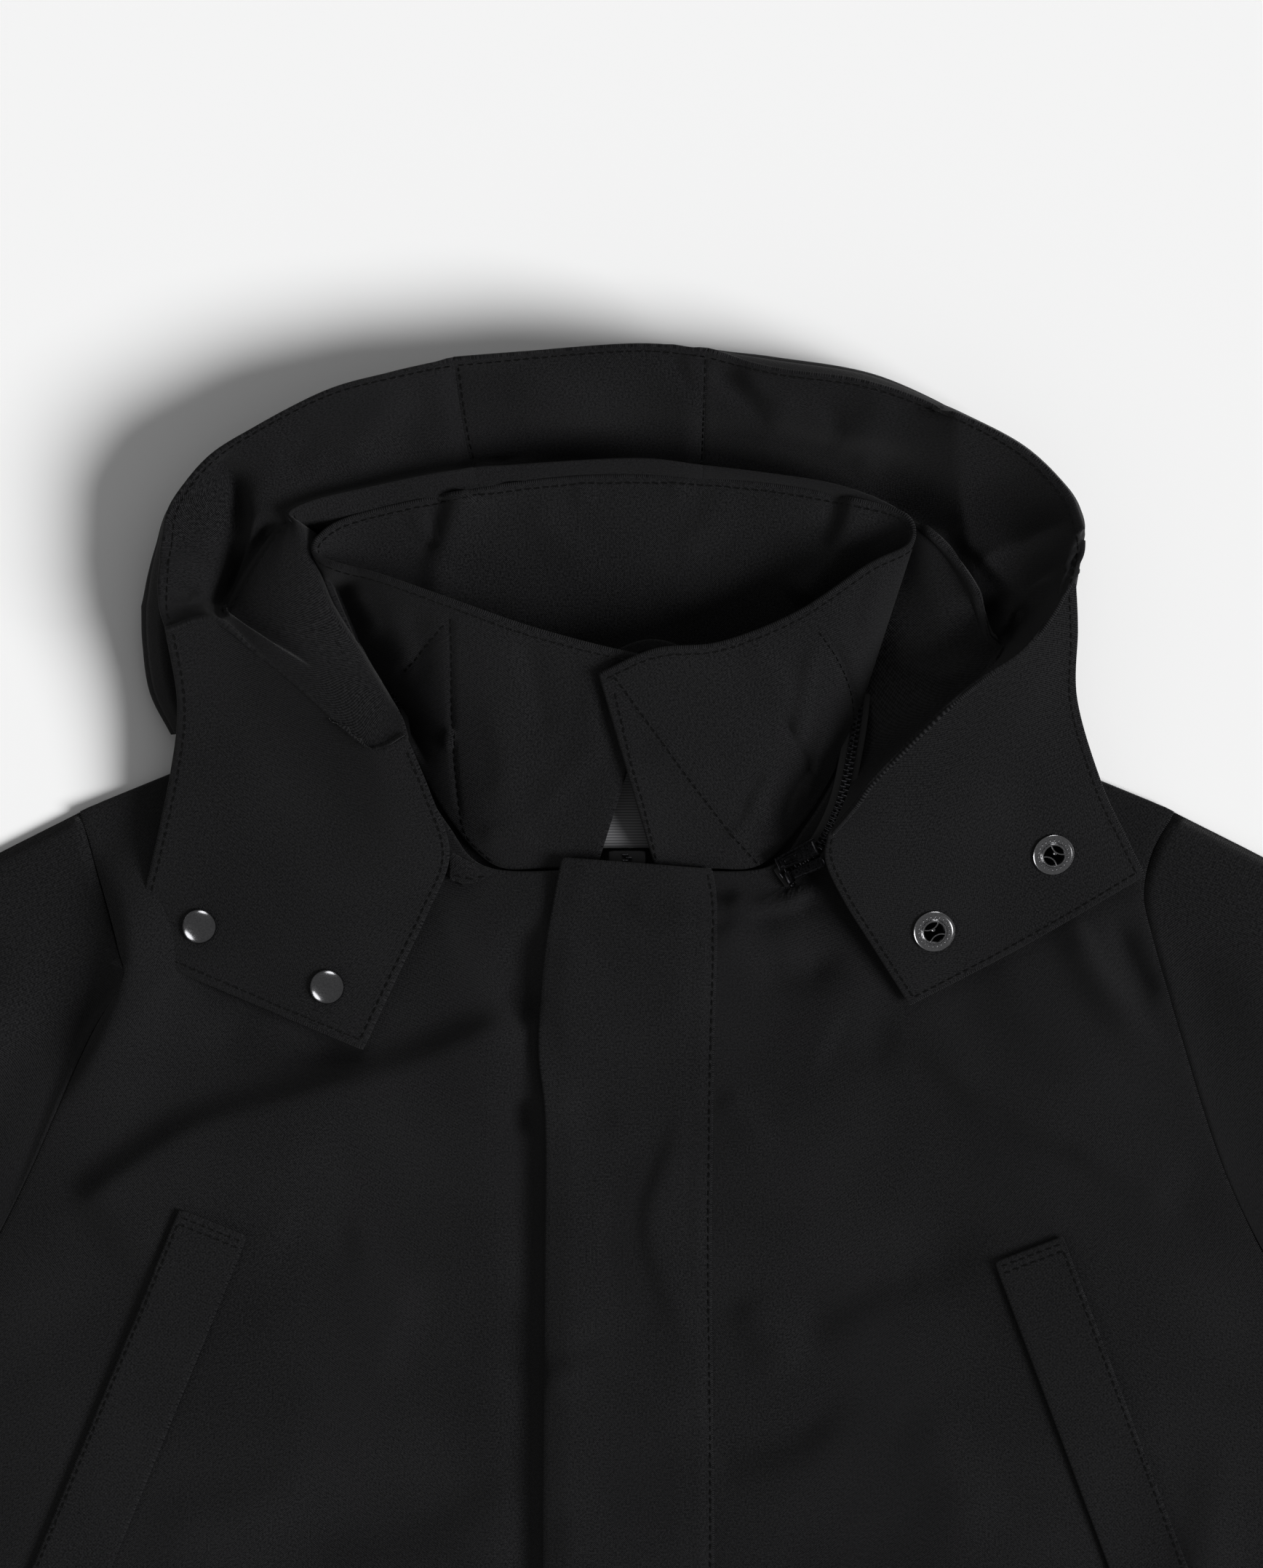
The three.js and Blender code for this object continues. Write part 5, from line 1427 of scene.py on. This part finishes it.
def addHoodStitches():
    tabRows = []
    for grid in tabShapes.values():
        tabRows.append(laySharesOn(grid, [(0.04, 0.022), (0.5, 0.02), (0.982, 0.02)]))
        tabRows.append(laySharesOn(grid, [(0.982, 0.02), (0.982, 0.98)]))
        tabRows.append(laySharesOn(grid, [(0.982, 0.98), (0.5, 0.98), (0.02, 0.98)]))
    stitchRows("tabStitches", tabRows)
    rims = [laySharesOn(grid, [(0.005, 0.984), (0.995, 0.984)], 300) for grid in hoodShapes.values()]
    rims.append(layOn(hoodShapes["right"], seamLines["hoodRight"]))
    rims += [laySharesOn(hoodShapes["centre"], [(share, 0.2), (share, 0.98)]) for share in (0.01, 0.99)]
    stitchRows("hoodStitches", rims)


def addCollarStitches():
    rows = collarSize["rowSteps"]
    front = collarShape[:int(collarSize["frontEnd"] * rows)]
    wing = collarShape[int(collarSize["wingStart"] * rows):]
    collarRows = [laySharesOn(collarShape, [(0.003, 0.975), (0.997, 0.975)], 400, False)]
    collarRows += [layOn(front, line) for line in seamLines["collarFront"]]
    collarRows += [layOn(wing, line) for line in seamLines["wing"]]
    stitchRows("collarStitches", [turnedUp(row) for row in collarRows])
    stitchRows("guardStitches", [laySharesOn(guardShape, [(0.82, 0.04), (0.82, 0.96)], 20)])


print("camera, floor and light")

# the view is straight down; 3.2 pixels of the photo make a millimetre
view = {"centreX": 1.9, "centreY": 290.2, "tall": 673.4, "away": 4000, "level": 20}


def addCamera():
    data = bpy.data.cameras.new("viewCamera")
    camera = bpy.data.objects.new("viewCamera", data)
    bpy.context.collection.objects.link(camera)
    data.sensor_width = 36
    data.lens = 36 * view["away"] / view["tall"]
    data.clip_end = 20
    height = view["away"] + view["level"]
    camera.location = (view["centreX"] * mm, view["centreY"] * mm, height * mm)
    bpy.context.scene.camera = camera


def addFloor():
    bpy.ops.object.select_all(action="DESELECT")
    bpy.ops.mesh.primitive_plane_add(size=12, location=(0, 0, -0.0004))
    floor = bpy.context.object
    floor.name = "paleFloor"
    # White painted board: even and matt
    material, tree, shader = newMaterial("whiteBoard", {
        "Base Color": hexColour("f9f9f9"), "Roughness": 0.9, "Specular IOR Level": 0.1,
    })
    floor.data.materials.append(material)


# two broad lights: where each comes from, how strong it is, and how wide it looks, in degrees
lights = {
    "keyLight": {"from": (1.0, -0.35, 0.74), "strength": 4.1, "wide": 28},
    "fillLight": {"from": (0.5, 0.9, 1.3), "strength": 0.2, "wide": 60},
}
# two soft boxes that only show in the metal
glints = {
    "glintLow": {"from": (-1.0, -0.9, 0.7), "strength": 1.3, "wide": 34},
    "glintTop": {"from": (0.2, 1.1, 0.7), "strength": 1.0, "wide": 30},
}
ambient = 0.16


def addLights():
    world = bpy.data.worlds.new("studio")
    bpy.context.scene.world = world
    world.use_nodes = True
    background = world.node_tree.nodes["Background"]
    background.inputs["Color"].default_value = (1, 1, 1, 1)
    background.inputs["Strength"].default_value = ambient
    for name, settings in {**lights, **glints}.items():
        data = bpy.data.lights.new(name, "SUN")
        data.energy = settings["strength"]
        data.angle = math.radians(settings["wide"])
        light = bpy.data.objects.new(name, data)
        bpy.context.collection.objects.link(light)
        light.rotation_euler = Vector(settings["from"]).to_track_quat("Z", "Y").to_euler()
        light.visible_diffuse = name not in glints
        light.visible_glossy = name in glints
    bpy.context.scene.view_settings.view_transform = "Standard"


addCamera()
addFloor()
addLights()

print("back and fronts")
makeBack()
frontRight = frontGrid(-1, armholeRight)
frontLeft = frontGrid(1, armholeLeft)
makeFront("coatFrontRight", "front_right", frontRight)
makeFront("coatFrontLeft", "front_left", frontLeft)

print("flap, pocket welts and sleeves")
flapShape = flapGrid()
makeFlap(flapShape)
weltRight = weltGrid(-1, 164.5, 95, 0.39)
weltLeft = weltGrid(1, 159, 84, 0.36)
makeWelt("pocketWeltRight", "pocket_welt_right", weltRight)
makeWelt("pocketWeltLeft", "pocket_welt_left", weltLeft)
makeSleeve("sleeveRight", "sleeve_right", -1, armholeRight)
makeSleeve("sleeveLeft", "sleeve_left", 1, armholeLeft)

print("collar and hood")
collarShape = collarGrid()
makeCollar(collarShape)
hoodShapes = makeHoodGrids()
makeHeap(hoodShapes)
makeHoodPiece("hoodSideRight", "hood_side_right", hoodShapes["right"])
makeHoodPiece("hoodCentre", "hood_centre", hoodShapes["centre"])
makeHoodPiece("hoodSideLeft", "hood_side_left", hoodShapes["left"])
tabShapes = {"right": tabGrid(ridgeRight, tabRightEdges), "left": tabGrid(ridgeLeft, tabLeftEdges)}
makeTab("chinTabRight", "chin_tab_right", tabShapes["right"])
makeTab("chinTabLeft", "chin_tab_left", tabShapes["left"])

print("zips, snaps and trims")
makeHoodZip()
makeFrontZip()
guardShape = makeGuard()
makeRibbon()
makeHanger()
makeCap("snapCapOuter", "snap_cap_outer", tabShapes["right"], -184, 229)
makeCap("snapCapInner", "snap_cap_inner", tabShapes["right"], -129, 203)
makeSocket("snapSocketOuter", "snap_socket_outer", tabShapes["left"], 183, 260, 0.5)
makeSocket("snapSocketInner", "snap_socket_inner", tabShapes["left"], 132, 227, 1.9)
makeSlider()
makePull()

print("stitches")
addBodyStitches()
addHoodStitches()
addCollarStitches()
